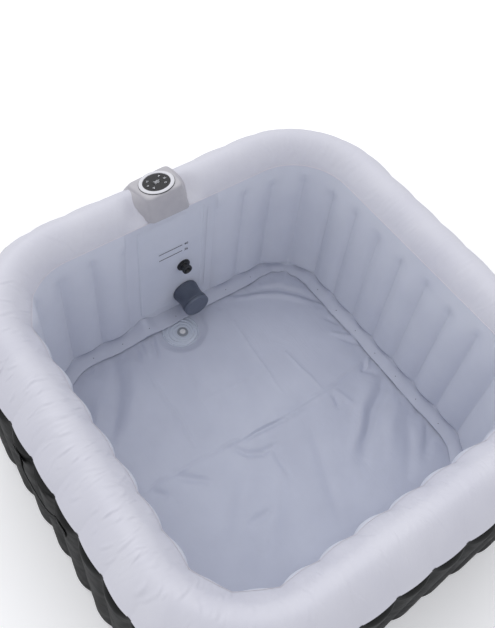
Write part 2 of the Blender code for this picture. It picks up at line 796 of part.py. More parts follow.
def make_air_duct():
    """The strip welded to the inner wall and to the floor, with the bubble holes in it."""
    top_in = -GAP
    rows = [
        (top_in - DUCT_REACH, FLOOR_TOP + GAP),
        (top_in - DUCT_REACH / 2 - DUCT_BULGE, FLOOR_TOP + GAP + DUCT_HEIGHT / 2 + DUCT_BULGE),
        (top_in, DUCT_TOP),
    ]
    columns = [
        [place + outward * out + Vector((0, 0, z)) for out, z in rows]
        for place, outward in plain_ring(INNER_HALF, INNER_CORNER)
    ]
    duct = ring_surface("air_duct", columns, GREY_PVC)
    solidify(duct, SKIN, -1)
    straight = INNER_HALF - INNER_CORNER
    count = 2 * int(straight / AIR_HOLE_PITCH) + 1
    for side in range(4):
        for number in range(count):
            along = (number - count // 2) * AIR_HOLE_PITCH
            place, outward = ring_point(
                side * side_length(INNER_HALF, INNER_CORNER) + along, INNER_HALF, INNER_CORNER
            )
            out, height = rows[0][0] * (1 - AIR_HOLE_HEIGHT_SHARE), DUCT_HEIGHT * AIR_HOLE_HEIGHT_SHARE
            middle = place + outward * (out - DUCT_BULGE) + Vector((0, 0, FLOOR_TOP + height))
            drill = rod(
                f"air_hole_{side}_{number}", AIR_HOLE_RADIUS, -DUCT_REACH / 2, DUCT_REACH / 2,
                None, middle, Vector((outward.x, outward.y, 0)).to_track_quat("Z", "Y").to_euler(),
                sides=AIR_HOLE_SIDES,
            )
            cut(duct, drill)
    return duct


def make_web():
    """The web, folded back and forth between the welds of the two walls, open at the pump bay."""
    inner_out = SKIN + GAP + WEB_THICKNESS / 2
    outer_out = -SKIN - GAP - WEB_THICKNESS / 2
    bay = BAY_RIBS / 2
    inner_last, outer_last = INNER_RIBS / 2, OUTER_RIBS / 2
    stops = []
    for lap, side in enumerate((2, 3, 4, 5, 6)):
        index = bay if lap == 0 else 1 - inner_last
        last = -bay if lap == 4 else inner_last
        while index <= last:
            stops.append((side, index))
            index += 1

    def inner_point(side, index):
        place, outward = groove(index, INNER_HALF, INNER_CORNER, INNER_RIBS, side)
        return place + outward * inner_out

    def outer_point(side, index):
        place, outward = groove(index, OUTER_HALF, OUTER_CORNER, OUTER_RIBS, side)
        return place + outward * outer_out

    points = []
    for number, (side, index) in enumerate(stops):
        corner = index == inner_last
        after_corner = index == 1 - inner_last
        at_inner = inner_point(side, index)
        at_outer = outer_point(side, outer_last if corner else index)
        if number % 2 == 0:
            points += [at_inner, at_outer]
        else:
            if corner:
                points.append(outer_point(side, outer_last - 1))
            elif after_corner and number:
                points.append(outer_point(side, 1 - outer_last))
            points += [at_outer, at_inner]
    low, high = DUCT_TOP + RIB_FADE, OUTER_SEAM - RIB_FADE
    work = bmesh.new()
    feet = [work.verts.new(point + Vector((0, 0, low))) for point in points]
    tops = [work.verts.new(point + Vector((0, 0, high))) for point in points]
    for number in range(len(points) - 1):
        work.faces.new((feet[number], feet[number + 1], tops[number + 1], tops[number]))
    web = add("internal_web", mesh_of(work, "internal_web"), WEB_FABRIC)
    solidify(web, WEB_THICKNESS, 0).modifiers["thickness"].use_even_offset = True
    return web


# Floor and drain

DRAIN_LEVEL = PAD_BOTTOM + PAD_THICKNESS / 2
DRAIN_TURN = Vector((VALVE_X, INNER_HALF - DRAIN_BEND, DRAIN_LEVEL))
DRAIN_WAY = (DRAIN_TURN - Vector((DRAIN_X, DRAIN_Y, DRAIN_LEVEL))).normalized()
TO_BACK = Vector((0, 1, 0))
UP = Vector((0, 0, 1))


def drain_route():
    """The drain pipe's way: out of the sump, under the liner, and up in the wall to its valve."""
    sump = Vector((DRAIN_X, DRAIN_Y, DRAIN_LEVEL))
    start = sump + DRAIN_WAY * (SUMP_RADIUS - SOCKET_DEPTH)
    into_wall = Vector((VALVE_X, INNER_HALF + DRAIN_BEND, DRAIN_LEVEL))
    end = Vector((VALVE_X, OUTER_HALF - SKIN - VALVE_TAIL + SOCKET_DEPTH, VALVE_HEIGHT))
    turn = bend(DRAIN_TURN - DRAIN_WAY * DRAIN_BEND, DRAIN_WAY, DRAIN_TURN, -TO_BACK, DRAIN_BEND / 2, 3)
    rise = bend(into_wall, TO_BACK, end - TO_BACK * SOCKET_DEPTH, -TO_BACK, DRAIN_BEND * 2, 5)
    return [start] + turn + rise + [end]


def drain_route_cutter(name):
    return as_mesh(pipe(name, drain_route(), PIPE_RADIUS + PIPE_CLEARANCE))


def make_floor():
    drain = (DRAIN_X, DRAIN_Y, 0)
    half, corner = INNER_HALF - GAP, INNER_CORNER - GAP
    outline("base_sheet", OUTER_HALF, OUTER_CORNER, 0, BASE_THICKNESS, BLACK_PVC)
    pad = outline("floor_pad", half, corner, PAD_BOTTOM, PAD_TOP, FOAM)
    sump_hole = rod("sump_hole", SUMP_RADIUS + GAP, -OVERRUN, PAD_TOP + OVERRUN, None, drain)
    cut(pad, sump_hole, drain_route_cutter("drain_channel"))
    liner = outline("floor_liner", half, corner, PAD_TOP + GAP, FLOOR_TOP, GREY_PVC)
    patch_top = FLOOR_TOP + PATCH_THICKNESS
    patch_place = (DRAIN_X, DRAIN_Y - PATCH_FORWARD, 0)
    join(liner, rod(
        "drain_patch", PATCH_RADIUS, PAD_TOP + GAP * 2, patch_top, None, patch_place, sides=FINE_SIDES
    ))
    cut(liner, rod(
        "neck_hole", SUMP_NECK_RADIUS + GAP, PAD_TOP - OVERRUN, patch_top + OVERRUN, None, drain
    ))


def make_drain():
    drain = (DRAIN_X, DRAIN_Y, 0)
    ring_low = FLOOR_TOP + PATCH_THICKNESS + GAP
    ring_high = ring_low + DRAIN_RING_THICKNESS
    bore_floor = PAD_BOTTOM + SUMP_FLOOR
    ring("drain_ring", DRAIN_RING_RADIUS, SUMP_NECK_RADIUS + GAP, ring_low, ring_high, LIGHT_ABS, drain)
    sump = turned(
        "drain_sump",
        [
            (0, bore_floor),
            (SUMP_BORE_RADIUS, bore_floor),
            (SUMP_BORE_RADIUS, ring_high),
            (SUMP_NECK_RADIUS, ring_high),
            (SUMP_NECK_RADIUS, PAD_TOP),
            (SUMP_RADIUS, PAD_TOP),
            (SUMP_RADIUS, PAD_BOTTOM),
            (0, PAD_BOTTOM),
        ],
        LIGHT_ABS,
        drain,
    )
    way = DRAIN_WAY.to_track_quat("Z", "Y").to_euler()
    level = (DRAIN_X, DRAIN_Y, DRAIN_LEVEL)
    socket_floor = SUMP_RADIUS - SOCKET_DEPTH - GAP
    socket = rod("sump_socket", PIPE_RADIUS + GAP, socket_floor, SUMP_RADIUS + OVERRUN, None, level, way)
    port = rod("sump_port", PIPE_RADIUS - PIPE_WALL, 0, SUMP_RADIUS - OVERRUN, None, level, way)
    cut(sump, socket, port)
    plug_low = ring_high + GAP
    plug_high = plug_low + PLUG_HEAD_THICKNESS
    stem_radius = SUMP_BORE_RADIUS - GAP
    plug = turned(
        "drain_plug",
        [
            (0, plug_high),
            (PLUG_HEAD_RADIUS, plug_high),
            (PLUG_HEAD_RADIUS, plug_low),
            (stem_radius, plug_low),
            (stem_radius, plug_low - PLUG_STEM),
            (0, plug_low - PLUG_STEM),
        ],
        WHITE_ABS,
        drain,
    )
    join(
        plug,
        box(
            "plug_tab",
            (DRAIN_X - PLUG_TAB_HALF, DRAIN_Y - PLUG_TAB_HALF_THICKNESS, plug_low + GAP),
            (DRAIN_X + PLUG_TAB_HALF, DRAIN_Y + PLUG_TAB_HALF_THICKNESS, plug_high + PLUG_TAB),
        ),
    )
    pipe("drain_pipe", drain_route(), PIPE_RADIUS, HOSE, PIPE_WALL)
    outside = (VALVE_X, OUTER_HALF, VALVE_HEIGHT)
    flange_high = GAP + VALVE_FLANGE_THICKNESS
    spout_high = flange_high + VALVE_SPOUT
    tail = -SKIN - VALVE_TAIL
    bore = PIPE_RADIUS - PIPE_WALL
    turned(
        "drain_outlet",
        [
            (VALVE_SPOUT_RADIUS, spout_high),
            (VALVE_SPOUT_RADIUS, flange_high),
            (VALVE_FLANGE_RADIUS, flange_high),
            (VALVE_FLANGE_RADIUS, GAP),
            (VALVE_NECK_RADIUS, GAP),
            (VALVE_NECK_RADIUS, tail),
            (PIPE_RADIUS + GAP, tail),
            (PIPE_RADIUS + GAP, tail + SOCKET_DEPTH + GAP),
            (bore, tail + SOCKET_DEPTH + GAP),
            (bore, spout_high),
        ],
        BLACK_ABS,
        outside,
        TOWARDS_BACK,
    )
    cap_low = flange_high + GAP
    cap = turned(
        "drain_cap",
        [
            (0, cap_low + VALVE_CAP_HEIGHT),
            (VALVE_CAP_RADIUS, cap_low + VALVE_CAP_HEIGHT),
            (VALVE_CAP_RADIUS, cap_low),
            (VALVE_SPOUT_RADIUS + GAP, cap_low),
            (VALVE_SPOUT_RADIUS + GAP, spout_high + GAP),
            (0, spout_high + GAP),
        ],
        BLACK_ABS,
        outside,
        TOWARDS_BACK,
    )
    join(cap, grip("drain_cap_grip", VALVE_CAP_RADIUS, cap_low + VALVE_CAP_HEIGHT, outside, TOWARDS_BACK))


def grip(name, radius, top, place, turn):
    """A finger bar across the top of a round cap."""
    work = bmesh.new()
    bmesh.ops.create_cube(work, size=1)
    size = (2 * radius * GRIP_LENGTH_SHARE, GRIP_WIDTH, 2 * GRIP_HEIGHT)
    bmesh.ops.scale(work, vec=size, verts=work.verts)
    bmesh.ops.translate(work, vec=(0, 0, top), verts=work.verts)
    return add(name, mesh_of(work, name), None, place, turn)


# Pump unit in the back wall

def make_panel():
    """The flat patch on the wet side that carries the filter and the outlet."""
    face = INNER_HALF - GAP
    low, high = DUCT_TOP + PANEL_FOOT_MARGIN, SEAM - PANEL_TOP_MARGIN
    points = [(PANEL_HALF_WIDTH, face, high), (-PANEL_HALF_WIDTH, face, high)]
    for way, first in ((-1, 180), (1, 270)):
        for step in range(CORNER_STEPS + 1):
            angle = math.radians(first + 90 * step / CORNER_STEPS)
            centre_x = way * (PANEL_HALF_WIDTH - PANEL_CORNER)
            points.append((
                centre_x + PANEL_CORNER * math.cos(angle),
                face,
                low + PANEL_CORNER + PANEL_CORNER * math.sin(angle),
            ))
    panel = sheet("pump_panel", points, PANEL_THICKNESS, GREY_PVC)
    filter_hole = rod(
        "filter_hole_in_panel", FILTER_NECK_RADIUS + GAP, -OVERRUN, FLANGE_HIGH,
        None, (FILTER_X, INNER_HALF, FILTER_HEIGHT), TOWARDS_BASIN,
    )
    outlet_hole = rod(
        "outlet_hole_in_panel", OUTLET_NECK_RADIUS + GAP, -OVERRUN, FLANGE_HIGH,
        None, (OUTLET_X, INNER_HALF, OUTLET_HEIGHT), TOWARDS_BASIN,
    )
    return cut(panel, filter_hole, outlet_hole)


SCREW_X = WINDOW_HALF_WIDTH - POST_HALF - OVERRUN * 2
SCREW_HEIGHTS = (WINDOW_SILL + POST_HALF + OVERRUN * 2, WINDOW_TOP - POST_HALF - OVERRUN * 2)


def screw_places():
    return [(x, height) for height in SCREW_HEIGHTS for x in (-SCREW_X, SCREW_X)]


def make_case():
    case = box(
        "pump_case",
        (-CASE_HALF_WIDTH, CASE_FRONT, WALL_FOOT),
        (CASE_HALF_WIDTH, CASE_BACK, CASE_TOP),
        LIGHT_ABS,
    )
    inside = CASE_HALF_WIDTH - CASE_WALL
    front = CASE_FRONT + CASE_WALL
    floor = WALL_FOOT + CASE_WALL
    cut(case, box(
        "case_inside", (-inside, front, floor), (inside, CASE_BACK + OVERRUN, CASE_TOP - CASE_WALL)
    ))
    bite = CASE_WALL / 2
    for number, (x, height) in enumerate(screw_places(), 1):
        way = math.copysign(1, x)
        near, far = x - way * POST_HALF, way * (inside + bite)
        join(case, box(
            f"screw_post_{number}",
            (min(near, far), CASE_BACK - POST_DEPTH, height - POST_HALF),
            (max(near, far), CASE_BACK, height + POST_HALF),
        ))
    motor_middle = VOLUTE_RIGHT - VOLUTE_WIDTH - GAP - MOTOR_LENGTH / 2
    cradle_top = FILTER_HEIGHT - CRADLE_TOP_BELOW_SHAFT
    join(case, box(
        "motor_cradle",
        (motor_middle - CRADLE_HALF_LENGTH, PUMP_Y - CRADLE_HALF_DEPTH, floor - bite),
        (motor_middle + CRADLE_HALF_LENGTH, PUMP_Y + CRADLE_HALF_DEPTH, cradle_top),
    ))
    for number, way in enumerate((-1, 1), 1):
        middle = BLOWER_HEIGHT + way * BLOWER_POST_OUT
        join(case, box(
            f"blower_post_{number}",
            (BLOWER_X - BLOWER_POST_HALF, front - bite, middle - BLOWER_POST_HALF),
            (BLOWER_X + BLOWER_POST_HALF, PUMP_Y - BLOWER_DEPTH / 2 - GAP, middle + BLOWER_POST_HALF),
        ))
    board_middle = CASE_TOP - BOARD_BELOW_CASE_TOP - BOARD_HEIGHT / 2
    reach = BOARD_HEIGHT / 2 - STAND_OFF_INSET
    for number, way in enumerate((-1, 1), 1):
        join(case, rod(
            f"board_stand_off_{number}", STAND_OFF_RADIUS, -bite, BOARD_STAND_OFF,
            None, (inside, PUMP_Y, board_middle + way * reach), TOWARDS_LEFT, sides=12,
        ))
    cut(case, rod(
        "motor_seat", MOTOR_RADIUS + GAP, 0, MOTOR_LENGTH,
        None, (VOLUTE_RIGHT - VOLUTE_WIDTH - GAP, PUMP_Y, FILTER_HEIGHT), TOWARDS_LEFT,
    ))
    for number, (x, height) in enumerate(screw_places(), 1):
        cut(case, rod(
            f"pilot_{number}", PILOT_RADIUS, -POST_DEPTH / 2, OVERRUN,
            None, (x, CASE_BACK, height), TOWARDS_BACK, sides=12,
        ))
    low, high = -WALL_STACK - OVERRUN, OVERRUN
    for name, radius, x, height in (
        ("filter_hole_in_case", FILTER_NECK_RADIUS, FILTER_X, FILTER_HEIGHT),
        ("outlet_hole_in_case", OUTLET_NECK_RADIUS, OUTLET_X, OUTLET_HEIGHT),
        ("air_hole_in_case", AIR_NECK_RADIUS, AIR_INLET_X, FLOOR_TOP + AIR_INLET_ABOVE_FLOOR),
    ):
        cut(case, rod(name, radius + GAP, low, high, None, (x, INNER_HALF, height), TOWARDS_BASIN))
    cut(case, rod(
        "cable_hole_in_case", CONDUIT_RADIUS - CONDUIT_WALL,
        CASE_TOP - CASE_WALL - OVERRUN, CASE_TOP + OVERRUN,
        None, (CONTROL_X, INNER_HALF + CONDUIT_FROM_WALL, 0),
    ))


def make_cover():
    width = WINDOW_HALF_WIDTH + COVER_LAP
    low, high = WINDOW_SILL - COVER_LAP, WINDOW_TOP + COVER_LAP
    cover = box("pump_cover", (-width, OUTER_HALF + GAP, low), (width, COVER_FACE, high), BLACK_ABS)
    plug = box(
        "cover_plug",
        (-WINDOW_HALF_WIDTH + GAP, OUTER_HALF - SKIN, WINDOW_SILL + GAP),
        (WINDOW_HALF_WIDTH - GAP, COVER_FACE - COVER_THICKNESS / 2, WINDOW_TOP - GAP),
    )
    join(cover, plug)
    for number in range(VENT_COUNT):
        top = VENT_TOP - number * VENT_PITCH
        cut(cover, box(
            f"vent_{number}",
            (-VENT_HALF_LENGTH, OUTER_HALF - SKIN - OVERRUN, top - VENT_HEIGHT),
            (VENT_HALF_LENGTH, COVER_FACE + OVERRUN, top),
        ))
    reach = COVER_FACE - OUTER_HALF + SKIN + OVERRUN
    cut(cover, rod(
        "inlet_hole", INLET_NECK_RADIUS + GAP, -reach, OVERRUN,
        None, (INLET_X, COVER_FACE, INLET_HEIGHT), TOWARDS_BACK,
    ))
    shank = COVER_FACE - OUTER_HALF + SKIN + POST_DEPTH / 3
    for number, (x, height) in enumerate(screw_places(), 1):
        place = (x, COVER_FACE, height)
        cut(cover, rod(
            f"screw_hole_{number}", SCREW_RADIUS + GAP, -reach, OVERRUN,
            None, place, TOWARDS_BACK, sides=12,
        ))
        turned(
            f"cover_screw_{number}",
            [
                (0, GAP + SCREW_HEAD_HEIGHT),
                (SCREW_HEAD_RADIUS, GAP + SCREW_HEAD_HEIGHT),
                (SCREW_HEAD_RADIUS, GAP),
                (SCREW_RADIUS, GAP),
                (SCREW_RADIUS, -shank),
                (0, -shank),
            ],
            STEEL, place, TOWARDS_BACK, sides=12,
        )
    turned(
        "power_inlet",
        [
            (INLET_NECK_RADIUS, INLET_OUT),
            (INLET_NECK_RADIUS, GAP + INLET_FLANGE_THICKNESS),
            (INLET_FLANGE_RADIUS, GAP + INLET_FLANGE_THICKNESS),
            (INLET_FLANGE_RADIUS, GAP),
            (INLET_NECK_RADIUS, GAP),
            (INLET_NECK_RADIUS, -INLET_TAIL),
            (INLET_BORE_RADIUS, -INLET_TAIL),
            (INLET_BORE_RADIUS, INLET_OUT),
        ],
        RUBBER, (INLET_X, COVER_FACE, INLET_HEIGHT), TOWARDS_BACK,
    )


def shaft_frame(name, place, turn):
    """An empty on a shaft. Its Z runs along the shaft, from the wheel towards the motor."""
    frame = bpy.data.objects.new(name, None)
    TUB.objects.link(frame)
    frame.location = place
    frame.rotation_euler = turn
    return frame


def vane(name, inner, outer, half_thickness, low, high, angle, parent):
    work = bmesh.new()
    bmesh.ops.create_cube(work, size=1)
    bmesh.ops.scale(work, vec=(outer - inner, 2 * half_thickness, high - low), verts=work.verts)
    bmesh.ops.translate(work, vec=((outer + inner) / 2, 0, (high + low) / 2), verts=work.verts)
    return add(name, mesh_of(work, name), None, (0, 0, 0), (0, 0, angle), parent)


def make_pump():
    front = VOLUTE_RIGHT - VOLUTE_WIDTH - GAP
    shaft = shaft_frame("pump_shaft_axis", (front, PUMP_Y, FILTER_HEIGHT), TOWARDS_LEFT)
    shaft_hole = SHAFT_RADIUS + SHAFT_CLEARANCE
    turned(
        "pump_motor",
        [
            (0, MOTOR_LENGTH),
            (MOTOR_RADIUS, MOTOR_LENGTH),
            (MOTOR_RADIUS, 0),
            (shaft_hole, 0),
            (shaft_hole, MOTOR_WALL),
            (MOTOR_RADIUS - MOTOR_WALL, MOTOR_WALL),
            (MOTOR_RADIUS - MOTOR_WALL, MOTOR_LENGTH - MOTOR_WALL),
            (0, MOTOR_LENGTH - MOTOR_WALL),
        ],
        BLACK_ABS, parent=shaft,
    )
    shaft_end = MOTOR_LENGTH - MOTOR_WALL - GAP
    rotor_high = MOTOR_LENGTH / 2 + ROTOR_LENGTH / 2
    rotor_low = MOTOR_LENGTH / 2 - ROTOR_LENGTH / 2
    plate_high = -GAP - VOLUTE_WALL - IMPELLER_CLEARANCE
    plate_low = plate_high - IMPELLER_PLATE
    hub_low = plate_low - VANE_HEIGHT
    rotor = turned(
        "pump_rotor",
        [
            (0, shaft_end),
            (SHAFT_RADIUS, shaft_end),
            (SHAFT_RADIUS, rotor_high),
            (ROTOR_RADIUS, rotor_high),
            (ROTOR_RADIUS, rotor_low),
            (SHAFT_RADIUS, rotor_low),
            (SHAFT_RADIUS, plate_high),
            (IMPELLER_RADIUS, plate_high),
            (IMPELLER_RADIUS, plate_low),
            (IMPELLER_HUB_RADIUS, plate_low),
            (IMPELLER_HUB_RADIUS, hub_low),
            (0, hub_low),
        ],
        STEEL, parent=shaft,
    )
    for number in range(IMPELLER_VANES):
        join(rotor, vane(
            f"impeller_vane_{number}", IMPELLER_HUB_RADIUS / 2, IMPELLER_RADIUS, VANE_HALF_THICKNESS,
            hub_low, plate_low + IMPELLER_PLATE / 2, number * 2 * math.pi / IMPELLER_VANES, shaft,
        ))
    drum_low = -GAP - VOLUTE_WIDTH
    cavity_low = drum_low + VOLUTE_WALL
    volute = rod("pump_volute", VOLUTE_RADIUS, drum_low, -GAP, BLACK_ABS, parent=shaft)
    middle = VOLUTE_RIGHT - VOLUTE_WIDTH / 2
    discharge = (middle, PUMP_Y + DISCHARGE_OFFSET, FILTER_HEIGHT)
    start = VOLUTE_RADIUS / 2
    join(
        volute,
        rod("volute_inlet", SPIGOT_RADIUS, drum_low - SPIGOT, cavity_low - VOLUTE_WALL / 2, parent=shaft),
        rod("volute_discharge", SPIGOT_RADIUS, start, DISCHARGE_RISE, None, discharge),
    )
    cut(
        volute,
        rod("volute_cavity", VOLUTE_RADIUS - VOLUTE_WALL, cavity_low, -GAP - VOLUTE_WALL, parent=shaft),
        rod("volute_shaft_hole", shaft_hole, -GAP - VOLUTE_WALL - OVERRUN, OVERRUN, parent=shaft),
        rod(
            "volute_inlet_bore", SPIGOT_BORE, drum_low - SPIGOT - OVERRUN, cavity_low + OVERRUN, parent=shaft
        ),
        rod("volute_discharge_bore", SPIGOT_BORE, start, DISCHARGE_RISE + OVERRUN, None, discharge),
    )
    fitting_tail = INNER_HALF + WALL_STACK + NECK_TAIL + GAP
    pipe(
        "suction_pipe",
        bend(
            (FILTER_X, fitting_tail, FILTER_HEIGHT), TO_BACK,
            (VOLUTE_RIGHT + SPIGOT + GAP, PUMP_Y, FILTER_HEIGHT), (1, 0, 0), SUCTION_LEAD,
        ),
        WATER_PIPE_RADIUS, HOSE, WATER_PIPE_WALL,
    )
    rim = HEATER_RADIUS + HEATER_RIM
    bore = HEATER_RADIUS - HEATER_WALL
    heater_low = FILTER_HEIGHT + DISCHARGE_RISE + GAP
    height = HEATER_LENGTH + 2 * HEATER_END
    turned(
        "heater",
        [
            (SPIGOT_BORE, height),
            (rim, height),
            (rim, height - HEATER_END),
            (HEATER_RADIUS, height - HEATER_END),
            (HEATER_RADIUS, HEATER_END),
            (rim, HEATER_END),
            (rim, 0),
            (SPIGOT_BORE, 0),
            (SPIGOT_BORE, HEATER_FLOOR),
            (bore, HEATER_FLOOR),
            (bore, height - HEATER_FLOOR),
            (SPIGOT_BORE, height - HEATER_FLOOR),
        ],
        STEEL, (discharge[0], discharge[1], heater_low),
    )
    heater_top = (discharge[0], discharge[1], heater_low + height + GAP)
    above_outlet = (OUTLET_X, fitting_tail + OUTLET_BEHIND, OUTLET_HEIGHT + OUTLET_ABOVE)
    outlet_end = (OUTLET_X, fitting_tail, OUTLET_HEIGHT)
    pipe(
        "outlet_pipe",
        bend(heater_top, UP, above_outlet, UP, OUTLET_LEAD, 8)
        + bend(above_outlet, -UP, outlet_end, TO_BACK, OUTLET_TURN, 4)[1:],
        WATER_PIPE_RADIUS, HOSE, WATER_PIPE_WALL,
    )


def make_blower():
    shaft = shaft_frame("blower_shaft_axis", (BLOWER_X, PUMP_Y, BLOWER_HEIGHT), TOWARDS_BACK)
    half = BLOWER_DEPTH / 2
    shaft_hole = SHAFT_RADIUS + SHAFT_CLEARANCE
    front, back = -half + BLOWER_WALL, half - BLOWER_WALL
    housing = rod("blower_housing", BLOWER_RADIUS, -half, half, LIGHT_ABS, parent=shaft)
    spigot_place = (BLOWER_X - BLOWER_SPIGOT_OFFSET, PUMP_Y, BLOWER_HEIGHT)
    start = -BLOWER_RADIUS / 2
    join(housing, rod("blower_spigot", SPIGOT_RADIUS, -BLOWER_SPIGOT_DROP, start, None, spigot_place))
    cut(
        housing,
        rod("blower_cavity", BLOWER_RADIUS - BLOWER_WALL, front, back, parent=shaft),
        rod("blower_intake", BLOWER_INTAKE_RADIUS, -half - OVERRUN, front + OVERRUN, parent=shaft),
        rod("blower_shaft_hole", shaft_hole, back - OVERRUN, half + OVERRUN, parent=shaft),
        rod("blower_spigot_bore", SPIGOT_BORE, -BLOWER_SPIGOT_DROP - OVERRUN, start, None, spigot_place),
    )
    motor_low = half + GAP
    motor_high = motor_low + BLOWER_MOTOR_LENGTH
    bearing = motor_low + BLOWER_MOTOR_LENGTH / 2
    turned(
        "blower_motor",
        [
            (0, motor_high),
            (BLOWER_MOTOR_RADIUS, motor_high),
            (BLOWER_MOTOR_RADIUS, motor_low),
            (shaft_hole, motor_low),
            (shaft_hole, bearing),
            (0, bearing),
        ],
        BLACK_ABS, parent=shaft,
    )
    plate_high = back - IMPELLER_CLEARANCE
    plate_low = plate_high - FAN_PLATE
    blade_low = plate_low - FAN_BLADE_HEIGHT
    fan = turned(
        "blower_rotor",
        [
            (0, bearing - GAP),
            (SHAFT_RADIUS, bearing - GAP),
            (SHAFT_RADIUS, plate_high),
            (FAN_RADIUS, plate_high),
            (FAN_RADIUS, plate_low),
            (FAN_HUB_RADIUS, plate_low),
            (FAN_HUB_RADIUS, blade_low),
            (0, blade_low),
        ],
        LIGHT_ABS, parent=shaft,
    )
    for number in range(FAN_BLADES):
        join(fan, vane(
            f"fan_blade_{number}", FAN_RADIUS * FAN_BLADE_INNER_SHARE, FAN_RADIUS - GAP,
            VANE_HALF_THICKNESS, blade_low, plate_low + FAN_PLATE / 2,
            number * 2 * math.pi / FAN_BLADES, shaft,
        ))
    inlet_height = FLOOR_TOP + AIR_INLET_ABOVE_FLOOR
    tail = WALL_STACK + AIR_INLET_TAIL
    turned(
        "air_inlet",
        [
            (AIR_FLANGE_RADIUS, GAP + AIR_FLANGE_THICKNESS),
            (AIR_FLANGE_RADIUS, GAP),
            (AIR_NECK_RADIUS, GAP),
            (AIR_NECK_RADIUS, -tail),
            (AIR_BORE_RADIUS, -tail),
            (AIR_BORE_RADIUS, GAP + AIR_FLANGE_THICKNESS),
        ],
        BLACK_ABS, (AIR_INLET_X, INNER_HALF, inlet_height), TOWARDS_BASIN,
    )
    hose_y = CASE_FRONT + CASE_WALL + AIR_HOSE_IN_FRONT
    top = (spigot_place[0], PUMP_Y, BLOWER_HEIGHT - BLOWER_SPIGOT_DROP - GAP)
    past_motor = (AIR_INLET_X, hose_y, FILTER_HEIGHT + MOTOR_RADIUS + AIR_HOSE_LEAD)
    above_inlet = (AIR_INLET_X, hose_y, inlet_height + AIR_HOSE_IN_FRONT)
    inlet_end = (AIR_INLET_X, INNER_HALF + tail + GAP, inlet_height)
    pipe(
        "air_hose",
        bend(top, -UP, past_motor, UP, AIR_HOSE_LEAD)
        + bend(above_inlet, -UP, inlet_end, TO_BACK, AIR_HOSE_TURN, 4),
        AIR_PIPE_RADIUS, HOSE, AIR_PIPE_WALL,
    )


def make_board_and_cable():
    middle = CASE_TOP - BOARD_BELOW_CASE_TOP - BOARD_HEIGHT / 2
    back = CASE_HALF_WIDTH - CASE_WALL - BOARD_STAND_OFF - GAP
    face = back - BOARD_THICKNESS
    board = box(
        "power_board",
        (face, PUMP_Y - BOARD_DEPTH / 2, middle - BOARD_HEIGHT / 2),
        (back, PUMP_Y + BOARD_DEPTH / 2, middle + BOARD_HEIGHT / 2),
        CIRCUIT,
    )
    names = ("transformer", "relay")
    for name, (out, width, height), share in zip(names, (TRANSFORMER, RELAY), BLOCK_SHARES):
        level = middle - BOARD_HEIGHT / 2 + BOARD_HEIGHT * share
        join(board, box(
            name,
            (face - out, PUMP_Y - width / 2, level - height / 2),
            (face + BOARD_THICKNESS / 2, PUMP_Y + width / 2, level + height / 2),
        ))
    conduit = (CONTROL_X, INNER_HALF + CONDUIT_FROM_WALL, 0)
    bore = CONDUIT_RADIUS - CONDUIT_WALL
    low, high = CASE_TOP + GAP, SEAM + ROLL_RISE + CONDUIT_OVER_ROLL
    turned(
        "harness_conduit",
        [
            (CONDUIT_RADIUS, high),
            (CONDUIT_RADIUS, low + CONDUIT_FLANGE_THICKNESS),
            (CONDUIT_FLANGE, low + CONDUIT_FLANGE_THICKNESS),
            (CONDUIT_FLANGE, low),
            (bore, low),
            (bore, high),
        ],
        HOSE, conduit,
    )
    start = Vector((conduit[0], conduit[1], board_underside(conduit[1]) - GAP))
    in_case = Vector((conduit[0], conduit[1], CASE_TOP - CASE_WALL * 2))
    end = (face - GAP, conduit[1], middle + BOARD_HEIGHT / 2 - STAND_OFF_INSET)
    pipe("control_cable", [start] + bend(in_case, -UP, end, (-1, 0, 0), CABLE_LEAD), CABLE_RADIUS, RUBBER)


# Filter and outlet on the wet side

